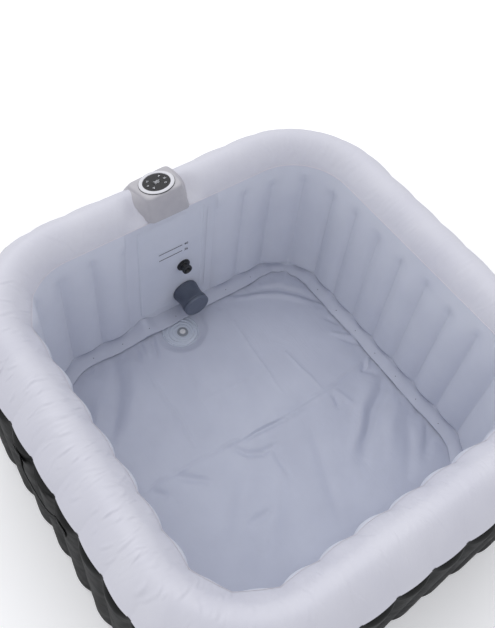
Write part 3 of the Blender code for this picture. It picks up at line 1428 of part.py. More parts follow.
def make_filter():
    place = (FILTER_X, INNER_HALF, FILTER_HEIGHT)
    tail = -WALL_STACK - NECK_TAIL
    stub = FLANGE_HIGH + FILTER_STUB
    turned(
        "filter_fitting",
        [
            (FILTER_STUB_RADIUS, stub),
            (FILTER_STUB_RADIUS, FLANGE_HIGH),
            (FILTER_FLANGE_RADIUS, FLANGE_HIGH),
            (FILTER_FLANGE_RADIUS, FLANGE_LOW),
            (FILTER_NECK_RADIUS, FLANGE_LOW),
            (FILTER_NECK_RADIUS, tail),
            (FILTER_BORE_RADIUS, tail),
            (FILTER_BORE_RADIUS, stub),
        ],
        SLATE_ABS, place, TOWARDS_BASIN,
    )
    nut_high = -WALL_STACK - GAP
    hex_nut(
        "filter_locknut", FILTER_NECK_RADIUS + GAP, nut_high - NUT_THICKNESS, nut_high,
        BLACK_ABS, place, TOWARDS_BASIN,
    )
    plate_low = FLANGE_HIGH + GAP
    plate_high = plate_low + FILTER_WALL
    socket = FILTER_STUB_RADIUS + GAP
    base_high = FILTER_STAND_OFF + FILTER_BASE_HEIGHT
    collar_low = FILTER_FRONT - FILTER_COLLAR
    flare_low = collar_low - FILTER_FLARE
    turned(
        "filter_housing",
        [
            (FILTER_FRONT_RADIUS, FILTER_FRONT),
            (FILTER_FRONT_RADIUS, collar_low),
            (FILTER_WAIST_RADIUS, flare_low),
            (FILTER_WAIST_RADIUS, base_high + FILTER_FLARE),
            (FILTER_BASE_RADIUS, base_high),
            (FILTER_BASE_RADIUS, FILTER_STAND_OFF),
            (FILTER_BASE_RADIUS - FILTER_WALL, FILTER_STAND_OFF),
            (FILTER_BASE_RADIUS - FILTER_WALL, plate_low),
            (socket, plate_low),
            (socket, plate_high),
            (FILTER_WAIST_RADIUS - FILTER_WALL, plate_high),
            (FILTER_WAIST_RADIUS - FILTER_WALL, flare_low),
            (FILTER_FRONT_RADIUS - FILTER_WALL, collar_low),
            (FILTER_FRONT_RADIUS - FILTER_WALL, FILTER_FRONT),
        ],
        SLATE_ABS, place, TOWARDS_BASIN, sides=FINE_SIDES,
    )
    cap_low = FILTER_FRONT + FILTER_CAP_GROOVE
    skirt = FILTER_FRONT_RADIUS - FILTER_WALL - CAP_CLEARANCE
    cap = turned(
        "filter_cap",
        [
            (0, cap_low + FILTER_CAP_HEIGHT),
            (FILTER_CAP_RADIUS, cap_low + FILTER_CAP_HEIGHT),
            (FILTER_CAP_RADIUS, cap_low),
            (skirt, cap_low),
            (skirt, FILTER_FRONT - CAP_SKIRT),
            (skirt - FILTER_WALL, FILTER_FRONT - CAP_SKIRT),
            (skirt - FILTER_WALL, cap_low),
            (0, cap_low),
        ],
        SLATE_ABS, place, TOWARDS_BASIN, sides=FINE_SIDES,
    )
    for number in range(CAP_SLOTS // 2):
        work = bmesh.new()
        bmesh.ops.create_cube(work, size=1)
        size = (2 * FILTER_CAP_RADIUS, 2 * CAP_SLOT_HALF, FILTER_CAP_GROOVE + CAP_SKIRT / 2)
        bmesh.ops.scale(work, vec=size, verts=work.verts)
        bmesh.ops.translate(work, vec=(0, 0, cap_low - size[2] / 2), verts=work.verts)
        turn = Matrix.Rotation(number * 2 * math.pi / CAP_SLOTS, 3, "Z")
        bmesh.ops.rotate(work, matrix=turn, verts=work.verts)
        cut(cap, add(f"cap_slot_{number}", mesh_of(work, "cap_slot"), None, place, TOWARDS_BASIN))
    work = bmesh.new()
    points = []
    for number in range(2 * PLEATS):
        angle = number * math.pi / PLEATS
        radius = MEDIA_RADIUS - PLEAT_DEPTH * (number % 2)
        place_on_pleat = (radius * math.cos(angle), radius * math.sin(angle), plate_high + GAP)
        points.append(work.verts.new(place_on_pleat))
    work.faces.new(points)
    pleats = mesh_of(work, "filter_cartridge")
    cartridge = add("filter_cartridge", pleats, FILTER_PAPER, place, TOWARDS_BASIN)
    solidify(cartridge, cap_low - GAP - plate_high - GAP, 1)
    cut(cartridge, rod(
        "media_bore", FILTER_STUB_RADIUS + MEDIA_CLEARANCE, 0, cap_low + OVERRUN, None, place, TOWARDS_BASIN
    ))


def make_outlet():
    place = (OUTLET_X, INNER_HALF, OUTLET_HEIGHT)
    tail = -WALL_STACK - NECK_TAIL
    seat = BALL_RADIUS + BALL_CLEARANCE
    seat_low = BALL_OUT - math.sqrt(seat**2 - OUTLET_BORE_RADIUS**2)
    turned(
        "outlet_fitting",
        [
            (OUTLET_FLANGE_RADIUS, FLANGE_HIGH),
            (OUTLET_FLANGE_RADIUS, FLANGE_LOW),
            (OUTLET_NECK_RADIUS, FLANGE_LOW),
            (OUTLET_NECK_RADIUS, tail),
            (OUTLET_BORE_RADIUS, tail),
            (OUTLET_BORE_RADIUS, seat_low),
            (seat, seat_low),
            (seat, FLANGE_HIGH),
        ],
        BLACK_ABS, place, TOWARDS_BASIN,
    )
    nut_high = -WALL_STACK - GAP
    hex_nut(
        "outlet_locknut", OUTLET_NECK_RADIUS + GAP, nut_high - NUT_THICKNESS, nut_high,
        BLACK_ABS, place, TOWARDS_BASIN,
    )
    ring_low = FLANGE_HIGH + GAP
    ring_high = ring_low + RING_THICKNESS
    lip = math.sqrt(seat**2 - (ring_high - BALL_OUT) ** 2)
    turned(
        "outlet_ring",
        [
            (RING_RADIUS, ring_high),
            (RING_RADIUS, ring_low),
            (seat, ring_low),
            (seat, BALL_OUT + BALL_CLEARANCE),
            (lip, ring_high),
        ],
        BLACK_ABS, place, TOWARDS_BASIN,
    )
    neck_angle = math.asin(NOZZLE_NECK_RADIUS / BALL_RADIUS)
    bore_angle = math.pi - math.asin(NOZZLE_BORE / BALL_RADIUS)
    ball = []
    for step in range(BALL_STEPS + 1):
        angle = neck_angle + (bore_angle - neck_angle) * step / BALL_STEPS
        ball.append((BALL_RADIUS * math.sin(angle), BALL_RADIUS * math.cos(angle)))
    front = NOZZLE_NECK + NOZZLE_HEAD
    turned(
        "outlet_nozzle",
        [
            (NOZZLE_MOUTH, front),
            (NOZZLE_HEAD_RADIUS, front),
            (NOZZLE_HEAD_RADIUS, NOZZLE_NECK),
            (NOZZLE_NECK_RADIUS, NOZZLE_NECK),
        ]
        + ball
        + [(NOZZLE_BORE, NOZZLE_NECK)],
        BLACK_ABS, (OUTLET_X, INNER_HALF - BALL_OUT, OUTLET_HEIGHT), TOWARDS_BASIN,
    )


# Control housing on the roll

CONTROL_TOP_WAY = Vector((math.cos(CONTROL_TILT), -math.sin(CONTROL_TILT)))
CONTROL_FOOT = Vector((-CONTROL_FOOT_IN, CONTROL_FOOT_UP))
CONTROL_FRONT_EDGE = Vector((CONTROL_TOP_OUT, CONTROL_TOP_UP))
CONTROL_BACK_EDGE = CONTROL_FRONT_EDGE + CONTROL_TOP_WAY * CONTROL_DEPTH
CONTROL_BACK_FOOT = Vector((CONTROL_BACK_EDGE.x + CONTROL_BACK_LEAN, CONTROL_FOOT_UP))
DISC = CONTROL_FRONT_EDGE + CONTROL_TOP_WAY * DISC_FROM_TOP_EDGE
DISC_PLACE = Vector((CONTROL_X, INNER_HALF + DISC.x, SEAM + DISC.y))
DISC_TURN = (-CONTROL_TILT, 0, 0)


def board_underside(y):
    """Height of the control board's underside above a place on the roll."""
    below = (-SKIRT_DEPTH + LEDGE_THICKNESS + GAP) / math.cos(CONTROL_TILT)
    return DISC_PLACE.z + below - (y - DISC_PLACE.y) * math.tan(CONTROL_TILT)


def control_half_width(out):
    slope = (CONTROL_BACK_HALF - CONTROL_FRONT_HALF) / (CONTROL_BACK_EDGE.x + CONTROL_FOOT_IN)
    return CONTROL_FRONT_HALF + slope * (out + CONTROL_FOOT_IN)


def control_block(name, profile, inset, finish=None):
    """A block with a side profile, and a width that grows towards the back."""
    work = bmesh.new()
    left = [
        work.verts.new((-control_half_width(p.x) + inset, INNER_HALF + p.x, SEAM + p.y)) for p in profile
    ]
    face = work.faces.new(left)
    grown = bmesh.ops.extrude_face_region(work, geom=[face])
    for vert in grown["geom"]:
        if isinstance(vert, bmesh.types.BMVert):
            vert.co.x = -vert.co.x
    bmesh.ops.recalc_face_normals(work, faces=work.faces)
    return add(name, mesh_of(work, name), finish, (CONTROL_X, 0, 0))


def make_control():
    corners = [CONTROL_FOOT, CONTROL_FRONT_EDGE, CONTROL_BACK_EDGE, CONTROL_BACK_FOOT]
    housing = control_block("control_housing", corners, 0, LIGHT_ABS)
    rounding = housing.modifiers.new("rounding", "BEVEL")
    rounding.width = CONTROL_ROUND
    rounding.segments = 2
    wall_in = Vector((CONTROL_WALL, 0))
    wall_down = Vector((0, CONTROL_WALL))
    drop = Vector((0, 2 * CONTROL_FOOT_UP))
    cavity = control_block(
        "control_cavity",
        [
            CONTROL_FOOT + wall_in - drop,
            CONTROL_FOOT + wall_in,
            CONTROL_FRONT_EDGE + wall_in - wall_down,
            CONTROL_BACK_EDGE - wall_in - wall_down,
            CONTROL_BACK_FOOT - wall_in,
            CONTROL_BACK_FOOT - wall_in - drop,
        ],
        CONTROL_WALL,
    )
    section = roll_section()
    saddle = []
    for number, point in enumerate(section):
        before, after = section[max(number - 1, 0)], section[min(number + 1, len(section) - 1)]
        way = (after - before).normalized()
        saddle.append(point + Vector((-way.y, way.x)) * 2 * GAP)
    floor = Vector((0, -ROLL_RISE))
    saddle = [Vector((saddle[0].x, 0)) + floor] + saddle + [Vector((saddle[-1].x, 0)) + floor]
    roll = control_block("roll_under_control", saddle, -CONTROL_FRONT_HALF)
    disc_hole = rod(
        "disc_hole", SKIRT_RADIUS + GAP, -CONTROL_WALL * 3, OVERRUN * 2,
        None, DISC_PLACE, DISC_TURN, sides=FINE_SIDES,
    )
    cut(housing, cavity, roll, disc_hole)

    disc = bpy.data.objects.new("disc_axis", None)
    TUB.objects.link(disc)
    disc.location = DISC_PLACE
    disc.rotation_euler = DISC_TURN
    seat = FACE_RADIUS + GAP
    ledge_high = -SKIRT_DEPTH + LEDGE_THICKNESS
    turned(
        "bezel_ring",
        [
            (seat, BEZEL_RISE),
            (BEZEL_RADIUS - BEZEL_EDGE, BEZEL_RISE),
            (BEZEL_RADIUS, BEZEL_RISE - BEZEL_EDGE),
            (BEZEL_RADIUS, GAP),
            (SKIRT_RADIUS, GAP),
            (SKIRT_RADIUS, -SKIRT_DEPTH),
            (LEDGE_RADIUS, -SKIRT_DEPTH),
            (LEDGE_RADIUS, ledge_high),
            (seat, ledge_high),
        ],
        WHITE_ABS, parent=disc, sides=FINE_SIDES,
    )
    face_high = BEZEL_RISE - FACE_BELOW_BEZEL
    face_low = face_high - FACE_THICKNESS
    face = turned(
        "panel_face",
        [
            (0, face_high),
            (FACE_RADIUS, face_high),
            (FACE_RADIUS, ledge_high + GAP),
            (FACE_RADIUS - FACE_SKIRT, ledge_high + GAP),
            (FACE_RADIUS - FACE_SKIRT, face_low),
            (0, face_low),
        ],
        GLOSS_BLACK, parent=disc, sides=FINE_SIDES,
    )
    board_high = ledge_high + GAP + BOARD_THICKNESS
    rod(
        "control_board", FACE_RADIUS - FACE_SKIRT - GAP, ledge_high + GAP, board_high,
        CIRCUIT, parent=disc, sides=FINE_SIDES,
    )
    box(
        "display_window",
        (-DISPLAY_HALF_WIDTH, -DISPLAY_HALF_HEIGHT, face_low),
        (DISPLAY_HALF_WIDTH, DISPLAY_HALF_HEIGHT, face_high),
        GLOSS_BLACK, disc,
    )
    cut(face, box(
        "display_cut",
        (-DISPLAY_HALF_WIDTH - GAP, -DISPLAY_HALF_HEIGHT - GAP, face_low - OVERRUN),
        (DISPLAY_HALF_WIDTH + GAP, DISPLAY_HALF_HEIGHT + GAP, face_high + OVERRUN),
        parent=disc,
    ))
    stem_low = board_high + KEY_TRAVEL + GAP
    for number in range(KEY_COUNT):
        angle = math.radians(KEY_ANGLES[number])
        place = (KEY_CIRCLE * math.cos(angle), KEY_CIRCLE * math.sin(angle), 0)
        cut(face, rod(
            f"key_hole_{number}", KEY_RADIUS + GAP, face_low - OVERRUN, face_high + OVERRUN,
            None, place, parent=disc, sides=12,
        ))
        turned(
            f"key_{number + 1}",
            [
                (0, face_high),
                (KEY_RADIUS, face_high),
                (KEY_RADIUS, face_low),
                (KEY_STEM_RADIUS, face_low),
                (KEY_STEM_RADIUS, stem_low),
                (0, stem_low),
            ],
            GLOSS_BLACK, place, parent=disc, sides=12,
        )


# Inflation valve and carrying handles

def make_valve():
    place = valve_place()
    flange_high = GAP + AIR_VALVE_FLANGE_THICKNESS
    turned(
        "valve_body",
        [
            (AIR_VALVE_FLANGE, flange_high),
            (AIR_VALVE_FLANGE, GAP),
            (AIR_VALVE_NECK, GAP),
            (AIR_VALVE_NECK, -AIR_VALVE_TAIL),
            (AIR_VALVE_BORE, -AIR_VALVE_TAIL),
            (AIR_VALVE_BORE, flange_high),
        ],
        BLACK_ABS, place, TOWARDS_RIGHT,
    )
    cap_low = flange_high + GAP
    cap_high = cap_low + AIR_VALVE_CAP_HEIGHT
    plug = AIR_VALVE_BORE - GAP
    cap = turned(
        "valve_cap",
        [
            (0, cap_high),
            (AIR_VALVE_CAP, cap_high),
            (AIR_VALVE_CAP, cap_low),
            (plug, cap_low),
            (plug, cap_low - AIR_VALVE_PLUG),
            (0, cap_low - AIR_VALVE_PLUG),
        ],
        BLACK_ABS, place, TOWARDS_RIGHT,
    )
    join(cap, grip("valve_cap_grip", AIR_VALVE_CAP, cap_high, place, TOWARDS_RIGHT))


def make_handle(name, side):
    """A webbing strap, with its ends welded flat to two ribs, that stands off the rib between."""
    crown = rib_crown(HANDLE_RIB, side, HANDLE_HEIGHT)
    middle = rib_crown(0, side, HANDLE_HEIGHT)
    along = (crown - middle).normalized()
    outward = along.cross(UP)
    reach = (crown - middle).length
    inner = reach - HANDLE_PATCH_LENGTH / 2
    stops = [(reach + HANDLE_PATCH_LENGTH / 2, GAP, HANDLE_PATCH_HALF)]
    for run, rise in zip(HANDLE_RUN_SHARES, HANDLE_RISE_SHARES):
        half = HANDLE_PATCH_HALF if run == 0 else HANDLE_HALF_WIDTH
        stops.append((inner * (1 - run), GAP + HANDLE_STAND_OUT * rise, half))
    stops += [(-run, out, half) for run, out, half in stops[-2::-1]]
    work = bmesh.new()
    rows = []
    for run, out, half in stops:
        point = middle + along * run + outward * out
        rows.append([work.verts.new(point - UP * half), work.verts.new(point + UP * half)])
    for first, second in zip(rows, rows[1:]):
        work.faces.new((first[0], second[0], second[1], first[1]))
    return solidify(add(name, mesh_of(work, name), WEBBING), HANDLE_THICKNESS, -1)


make_top_roll()
make_inner_wall()
make_outer_wall()
make_air_duct()
make_web()
make_floor()
make_drain()
make_panel()
make_case()
make_cover()
make_pump()
make_blower()
make_board_and_cable()
make_filter()
make_outlet()
make_control()
make_valve()
make_handle("handle_right", 1)
make_handle("handle_left", 3)
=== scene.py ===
import math

import bpy
import numpy as np
from mathutils import Euler, Matrix, Vector, noise


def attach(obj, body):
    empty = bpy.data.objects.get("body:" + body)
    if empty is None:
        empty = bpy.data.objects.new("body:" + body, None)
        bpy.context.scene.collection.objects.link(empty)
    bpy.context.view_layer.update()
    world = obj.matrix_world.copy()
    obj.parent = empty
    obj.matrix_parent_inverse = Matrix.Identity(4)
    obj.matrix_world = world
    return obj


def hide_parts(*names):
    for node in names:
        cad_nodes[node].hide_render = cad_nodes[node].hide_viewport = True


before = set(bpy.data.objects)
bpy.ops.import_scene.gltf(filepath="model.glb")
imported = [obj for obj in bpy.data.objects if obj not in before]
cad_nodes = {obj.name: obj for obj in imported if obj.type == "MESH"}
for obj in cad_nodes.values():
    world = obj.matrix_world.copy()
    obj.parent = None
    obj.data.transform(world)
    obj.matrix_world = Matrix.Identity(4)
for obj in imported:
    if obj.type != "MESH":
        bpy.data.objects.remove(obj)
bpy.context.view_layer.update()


# --------------------------------------------------
# Camera. It stands over the front left corner of the tub and looks down into it, with its head
# tipped a little to one side. Places are in metres, +Z up, with the control panel at the +Y side.

EYE = Vector((-0.9251, -0.8738, 2.5421))
LOOK_AZIMUTH, LOOK_DOWN, HEAD_TIP = (math.radians(a) for a in (42.257, 55.309, 8.305))
LENS_MM, SENSOR_MM = 44.73, 36

look = Vector(
    (
        math.sin(LOOK_AZIMUTH) * math.cos(LOOK_DOWN), math.cos(LOOK_AZIMUTH) * math.cos(LOOK_DOWN),
        -math.sin(LOOK_DOWN)
    )
)
level_right = Vector((math.cos(LOOK_AZIMUTH), -math.sin(LOOK_AZIMUTH), 0))
level_up = level_right.cross(look)
picture_right = level_right * math.cos(HEAD_TIP) + level_up * math.sin(HEAD_TIP)
picture_up = level_up * math.cos(HEAD_TIP) - level_right * math.sin(HEAD_TIP)
lens = bpy.data.cameras.new("overhead_camera")
lens.lens, lens.sensor_width = LENS_MM, SENSOR_MM
camera = bpy.data.objects.new("overhead_camera", lens)
bpy.context.scene.collection.objects.link(camera)
camera.matrix_world = Matrix.Translation(EYE) @ Matrix(
    (picture_right, picture_up, -look)
).transposed().to_4x4()
bpy.context.scene.camera = camera


# --------------------------------------------------
# Studio. A matt white floor under an even sky of white cloth, and one very broad soft lamp that
# stands high behind the control panel, so that the far side of the basin lies in its own shade.

SKY_LEVEL = 0.86
LAMP_LEVEL = 0.80
LAMP_LEAN, LAMP_TURN, LAMP_SPREAD = (math.radians(a) for a in (38, 5, 75))
FLOOR_HALF = 30
FLOOR_LIFT = 0.14
FLOOR_DROP = 0.0004


def linear(code):
    """Linear colour of an sRGB hex value such as #A0B0C0."""
    levels = [int(code[place:place + 2], 16) / 255 for place in (1, 3, 5)]
    return tuple(v / 12.92 if v <= 0.04045 else ((v + 0.055) / 1.055) ** 2.4 for v in levels) + (1,)


def add_node(tree, kind, given=None):
    """A shader node. Lower-case names in what is given are settings, and all others are sockets.

    A socket takes a value, a hex colour, or the node or socket that feeds it.
    """
    made = tree.nodes.new("ShaderNode" + kind)
    for key, value in (given or {}).items():
        if isinstance(key, str) and key.islower():
            setattr(made, key, value)
        elif isinstance(value, bpy.types.Node):
            tree.links.new(value.outputs[0], made.inputs[key])
        elif isinstance(value, bpy.types.NodeSocket):
            tree.links.new(value, made.inputs[key])
        else:
            made.inputs[key].default_value = linear(value) if isinstance(value, str) else value
    return made


def new_material(name):
    """An empty material and its node tree."""
    made = bpy.data.materials.new(name)
    made.use_nodes = True
    made.node_tree.nodes.clear()
    return made, made.node_tree


def build(name, points, faces, material, smooth=True):
    """A mesh object from its points and faces, in the frame of the tub."""
    mesh = bpy.data.meshes.new(name)
    mesh.from_pydata([tuple(map(float, point)) for point in points], [], faces)
    mesh.materials.append(material)
    if smooth:
        mesh.shade_smooth()
    made = bpy.data.objects.new(name, mesh)
    bpy.context.scene.collection.objects.link(made)
    return made


# Floor paint: matt white emulsion, rolled on, with a faint stipple.
floor_paint, tree = new_material("studio_floor_paint")
path = add_node(tree, "LightPath")
paint = add_node(tree, "Mix", {
    "data_type": "RGBA", 0: path.outputs["Is Camera Ray"], 6: "#DCDCDC", 7: "#FFFFFF"
})
stipple = add_node(tree, "TexNoise", {"Scale": 400})
rough = add_node(tree, "Bump", {"Strength": 0.05, "Distance": 0.0005, "Height": stipple})
shader = add_node(tree, "BsdfDiffuse", {"Color": paint.outputs[2], "Normal": rough})
glow = add_node(tree, "Math", {"operation": "MULTIPLY", 0: path.outputs["Is Camera Ray"], 1: FLOOR_LIFT})
lift = add_node(tree, "Emission", {"Strength": glow})
shader = add_node(tree, "AddShader", {0: shader, 1: lift})
add_node(tree, "OutputMaterial", {0: shader})
floor_corners = [
    (way_x * FLOOR_HALF, way_y * FLOOR_HALF, -FLOOR_DROP) for way_x,
    way_y in ((-1, -1), (1, -1), (1, 1), (-1, 1))
]
studio_floor = build("studio_floor", floor_corners, [(0, 1, 2, 3)], floor_paint, smooth=False)

world = bpy.data.worlds.new("white_studio")
world.use_nodes = True
tree = world.node_tree
tree.nodes.clear()
path = add_node(tree, "LightPath")
seen = add_node(tree, "Math", {
    "operation": "MAXIMUM", 0: path.outputs["Is Camera Ray"], 1: path.outputs["Is Glossy Ray"]
})
seen = add_node(tree, "Math", {"operation": "MAXIMUM", 0: seen, 1: path.outputs["Is Transmission Ray"]})
sky = add_node(tree, "Background", {"Color": "#F7F8FD", "Strength": SKY_LEVEL})
card = add_node(tree, "Background", {"Color": (1, 1, 1, 1), "Strength": 1})
both = add_node(tree, "MixShader", {0: seen, 1: sky, 2: card})
add_node(tree, "OutputWorld", {"Surface": both})
bpy.context.scene.world = world

broad_lamp = bpy.data.lights.new("broad_soft_lamp", "SUN")
broad_lamp.energy = LAMP_LEVEL
broad_lamp.angle = LAMP_SPREAD
lamp = bpy.data.objects.new("broad_soft_lamp", broad_lamp)
lamp.rotation_euler = Euler((-LAMP_LEAN, 0, LAMP_TURN))
bpy.context.scene.collection.objects.link(lamp)
bpy.context.scene.view_settings.view_transform = "Standard"


# --------------------------------------------------
# Base sheet. Black PVC tarpaulin, cut to the outline of the tub and welded to the foot of the
# outer wall. It lies flat on the ground and carries everything else.

BASE_THICKNESS = 0.0015
SHEET_POINTS = 65
OUTER_HALF, OUTER_CORNER = 0.765, 0.385


def side_length(half, corner):
    """Length of one side of the tub with half a corner at each end."""
    return 2 * (half - corner) + corner * math.pi / 2


def along_ring(distance, half, corner):
    """Places and outward directions at distances along the tub, from the middle of its front."""
    length, straight = side_length(half, corner), half - corner
    side = np.floor(distance / length + 0.5)
    along = distance - side * length
    past = np.maximum(0, np.abs(along) - straight) / np.maximum(corner, 1e-9)
    way = np.sign(along)
    x = way * (np.minimum(np.abs(along), straight) + corner * np.sin(past))
    y = -straight - corner * np.cos(past)
    out_x, out_y = way * np.sin(past), -np.cos(past)
    cosine, sine = np.cos(side * math.pi / 2), np.sin(side * math.pi / 2)
    place = np.stack([x * cosine - y * sine, x * sine + y * cosine], -1)
    outward = np.stack([out_x * cosine - out_y * sine, out_x * sine + out_y * cosine], -1)
    return place, outward


def skin(name, grid, material, around=True, inside_out=False):
    """A smooth sheet over a grid of points, columns first. Its UV map counts metres each way."""
    columns, rows = grid.shape[:2]
    steps = columns if around else columns - 1
    c, r = (part.ravel() for part in np.meshgrid(np.arange(steps), np.arange(rows - 1), indexing="ij"))
    corners = [(c, r), (c + 1, r), (c + 1, r + 1), (c, r + 1)]
    if inside_out:
        corners = corners[::-1]
    faces = np.stack([(column % columns) * rows + row for column, row in corners], -1)
    made = build(name, grid.reshape(-1, 3), faces.tolist(), material)
    closed = np.concatenate([grid, grid[:1]]) if around else grid
    steps_along = np.linalg.norm(np.diff(closed[:, rows // 2], axis=0), axis=-1)
    steps_up = np.linalg.norm(np.diff(closed[0], axis=0), axis=-1)
    u = np.concatenate([[0], np.cumsum(steps_along)])
    v = np.concatenate([[0], np.cumsum(steps_up)])
    uv = np.stack([np.stack([u[column], v[row]], -1) for column, row in corners], 1)
    layer = made.data.uv_layers.new(name="metres")
    layer.data.foreach_set("uv", uv.astype(np.float32).ravel())
    return made


def smooth_step(value, low, high):
    """0 below low, 1 above high, and a soft rise between."""
    share = np.clip((value - low) / (high - low), 0, 1)
    return share * share * (3 - 2 * share)


def roughly(points, size, seed=0.0):
    """Smooth noise between -1 and 1 at each point, with bumps of about that size in metres."""
    shape = points.shape[:-1]
    flat = points.reshape(-1, points.shape[-1]) / size
    if flat.shape[1] == 2:
        flat = np.concatenate([flat, np.zeros((len(flat), 1))], 1)
    shift = Vector((seed * 7.31, seed * 3.17, seed * 5.71))
    return np.array([noise.noise(Vector(point) + shift) for point in flat]).reshape(shape)


def vinyl(name, colour, shade, roughness, grain_mm, grain_depth_mm, crease=0.0, specular=0.5):
    """PVC film laid over a fabric core and pressed between rollers.

    It gives a soft satin sheen, a fine grain and cloudy changes of tone from handling.
    """
    made, tree = new_material(name)
    place = add_node(tree, "TexCoord").outputs["Object"]
    clouds = add_node(tree, "TexNoise", {
        "Vector": place, "Scale": 1 / 0.22, "Detail": 4, "Roughness": 0.55
    })
    tone = add_node(tree, "MapRange", {0: clouds, 1: 0.30, 2: 0.70})
    film = add_node(tree, "Mix", {"data_type": "RGBA", 0: tone, 6: colour, 7: shade})
    handled = add_node(tree, "TexNoise", {"Vector": place, "Scale": 1 / 0.045, "Detail": 3})
    gloss = add_node(tree, "MapRange", {
        0: handled, 1: 0.3, 2: 0.7, 3: roughness - 0.06, 4: roughness + 0.08
    })
    # The rollers' grain is 0.3 mm across and too fine to show, so it is drawn coarser.
    grain = add_node(tree, "TexNoise", {"Vector": place, "Scale": 1000 / grain_mm, "Detail": 2})
    relief = add_node(tree, "Bump", {"Strength": 0.6, "Distance": grain_depth_mm / 1000, "Height": grain})
    if crease:
        # Slack film draws into short creases that run across the sheet's length.
        metres = add_node(tree, "UVMap", {"uv_map": "metres"})
        drawn = add_node(tree, "Mapping", {"Vector": metres, "Scale": (1 / 0.010, 1 / 0.070, 1)})
        folds = add_node(tree, "TexNoise", {"Vector": drawn, "Scale": 1.0, "Detail": 3, "Distortion": 0.6})
        where = add_node(tree, "TexNoise", {"Vector": metres, "Scale": 1 / 0.16, "Detail": 1})
        patchy = add_node(tree, "MapRange", {0: where, 1: 0.38, 2: 0.62})
        folds = add_node(tree, "Math", {"operation": "MULTIPLY", 0: folds, 1: patchy})
        relief = add_node(tree, "Bump", {
            "Strength": 0.8, "Distance": crease / 1000, "Height": folds, "Normal": relief
        })
    shader = add_node(tree, "BsdfPrincipled", {
        "Base Color": film.outputs[2], "Roughness": gloss, "IOR": 1.53, "Specular IOR Level": specular,
        "Normal": relief
    })
    add_node(tree, "OutputMaterial", {0: shader})
    return made


# Tarpaulin: black PVC on heavy cloth with a matt lacquer, so that it hardly mirrors the room.
black_tarpaulin = vinyl("black_pvc_tarpaulin", "#131414", "#1A1B1B", 0.50, 1.4, 0.10, 1.2, specular=0.14)


def disc_grid(half, corner, height, count):
    """A square grid of points over the tub's rounded square outline."""
    u, v = np.meshgrid(np.linspace(-1, 1, count), np.linspace(-1, 1, count), indexing="ij")
    size = np.maximum(np.abs(u), np.abs(v))
    safe = np.maximum(size, 1e-9)
    length = side_length(half, corner)
    on_side = [(-v >= np.abs(u)), (u >= np.abs(v)), (v >= np.abs(u))]
    distance = np.select(
        on_side,
        [u / safe * length / 2, length + v / safe * length / 2, 2 * length - u / safe * length / 2],
        3 * length - v / safe * length / 2
    )
    place, _ = along_ring(distance, half, corner)
    flat = place * size[..., None]
    return np.concatenate([flat, np.full(flat.shape[:2] + (1,), height)], -1)


def slab(name, over, under, material):
    """A closed sheet between two square grids of points, with its rim."""
    count = over.shape[0]
    c, r = (part.ravel() for part in np.meshgrid(np.arange(count - 1), np.arange(count - 1), indexing="ij"))
    first = c * count + r
    face = np.stack([first, first + count, first + count + 1, first + 1], -1)
    edge = [(0, k) for k in range(count)] + [(k, count - 1) for k in range(1, count)]
    edge += [(count - 1, k) for k in range(count - 2, -1, -1)] + [(k, 0) for k in range(count - 2, 0, -1)]
    edge = np.array([column * count + row for column, row in edge])
    beside = np.roll(edge, -1)
    below = count * count
    rim = np.stack([edge, beside, beside + below, edge + below], -1)
    faces = np.concatenate([face, face[:, ::-1] + below, rim])
    points = np.concatenate([over.reshape(-1, 3), under.reshape(-1, 3)])
    made = build(name, points, faces.tolist(), material)
    made.data.set_sharp_from_angle(angle=math.radians(40))
    layer = made.data.uv_layers.new(name="metres")
    layer.data.foreach_set("uv", points[faces.ravel(), :2].astype(np.float32).ravel())
    return made


base_cloth = slab(
    "base_cloth", disc_grid(OUTER_HALF, OUTER_CORNER, BASE_THICKNESS, SHEET_POINTS),
    disc_grid(OUTER_HALF, OUTER_CORNER, 0.0, SHEET_POINTS), black_tarpaulin
)
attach(base_cloth, "tub")
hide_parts("base_sheet")


# --------------------------------------------------
# Floor pad. One sheet of closed-cell polyethylene foam, cut to the inner outline. The real pad has a
# hole for the drain, which is not cut here. It lies loose between the base sheet and the liner.

PAD_LOW, PAD_HIGH = 0.0018, 0.0158
INNER_HALF, INNER_CORNER = 0.586, 0.206
FIT = 0.0003


def finish(tree, pattern, dark, light, relief, sockets):
    """Tone and relief that follow one pattern, with the shader and output that take them.

    The relief is its strength and its depth in metres, or nothing for print that lies flat.
    """
    tone = add_node(tree, "Mix", {"data_type": "RGBA", 0: pattern, 6: dark, 7: light})
    sockets = {"Base Color": tone.outputs[2], **sockets}
    if relief:
        strength, depth = relief
        sockets["Normal"] = add_node(tree, "Bump", {
            "Strength": strength, "Distance": depth, "Height": pattern
        })
    shader = add_node(tree, "BsdfPrincipled", sockets)
    add_node(tree, "OutputMaterial", {0: shader})


# Foam: grey, matt, with cells of 1 to 2 mm cut open at its faces.
foam, tree = new_material("grey_polyethylene_foam")
place = add_node(tree, "TexCoord").outputs["Object"]
cells = add_node(tree, "TexVoronoi", {"Vector": place, "Scale": 1 / 0.0018})
finish(tree, cells.outputs["Distance"], "#7E8084", "#9A9CA0", (0.7, 0.0006), {"Roughness": 0.95, "IOR": 1.49})

foam_pad = slab(
    "foam_pad", disc_grid(INNER_HALF - FIT, INNER_CORNER - FIT, PAD_HIGH, SHEET_POINTS),
    disc_grid(INNER_HALF - FIT, INNER_CORNER - FIT, PAD_LOW, SHEET_POINTS), foam
)
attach(foam_pad, "tub")
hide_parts("floor_pad")


# --------------------------------------------------
# Floor liner. Blue-grey PVC film that lies loose on the foam pad and is welded to the wall all
# round. It was folded for packing, so it keeps soft ridges, hollows and gathered edges.

FLOOR_TOP = 0.0176
LINER_POINTS = 341
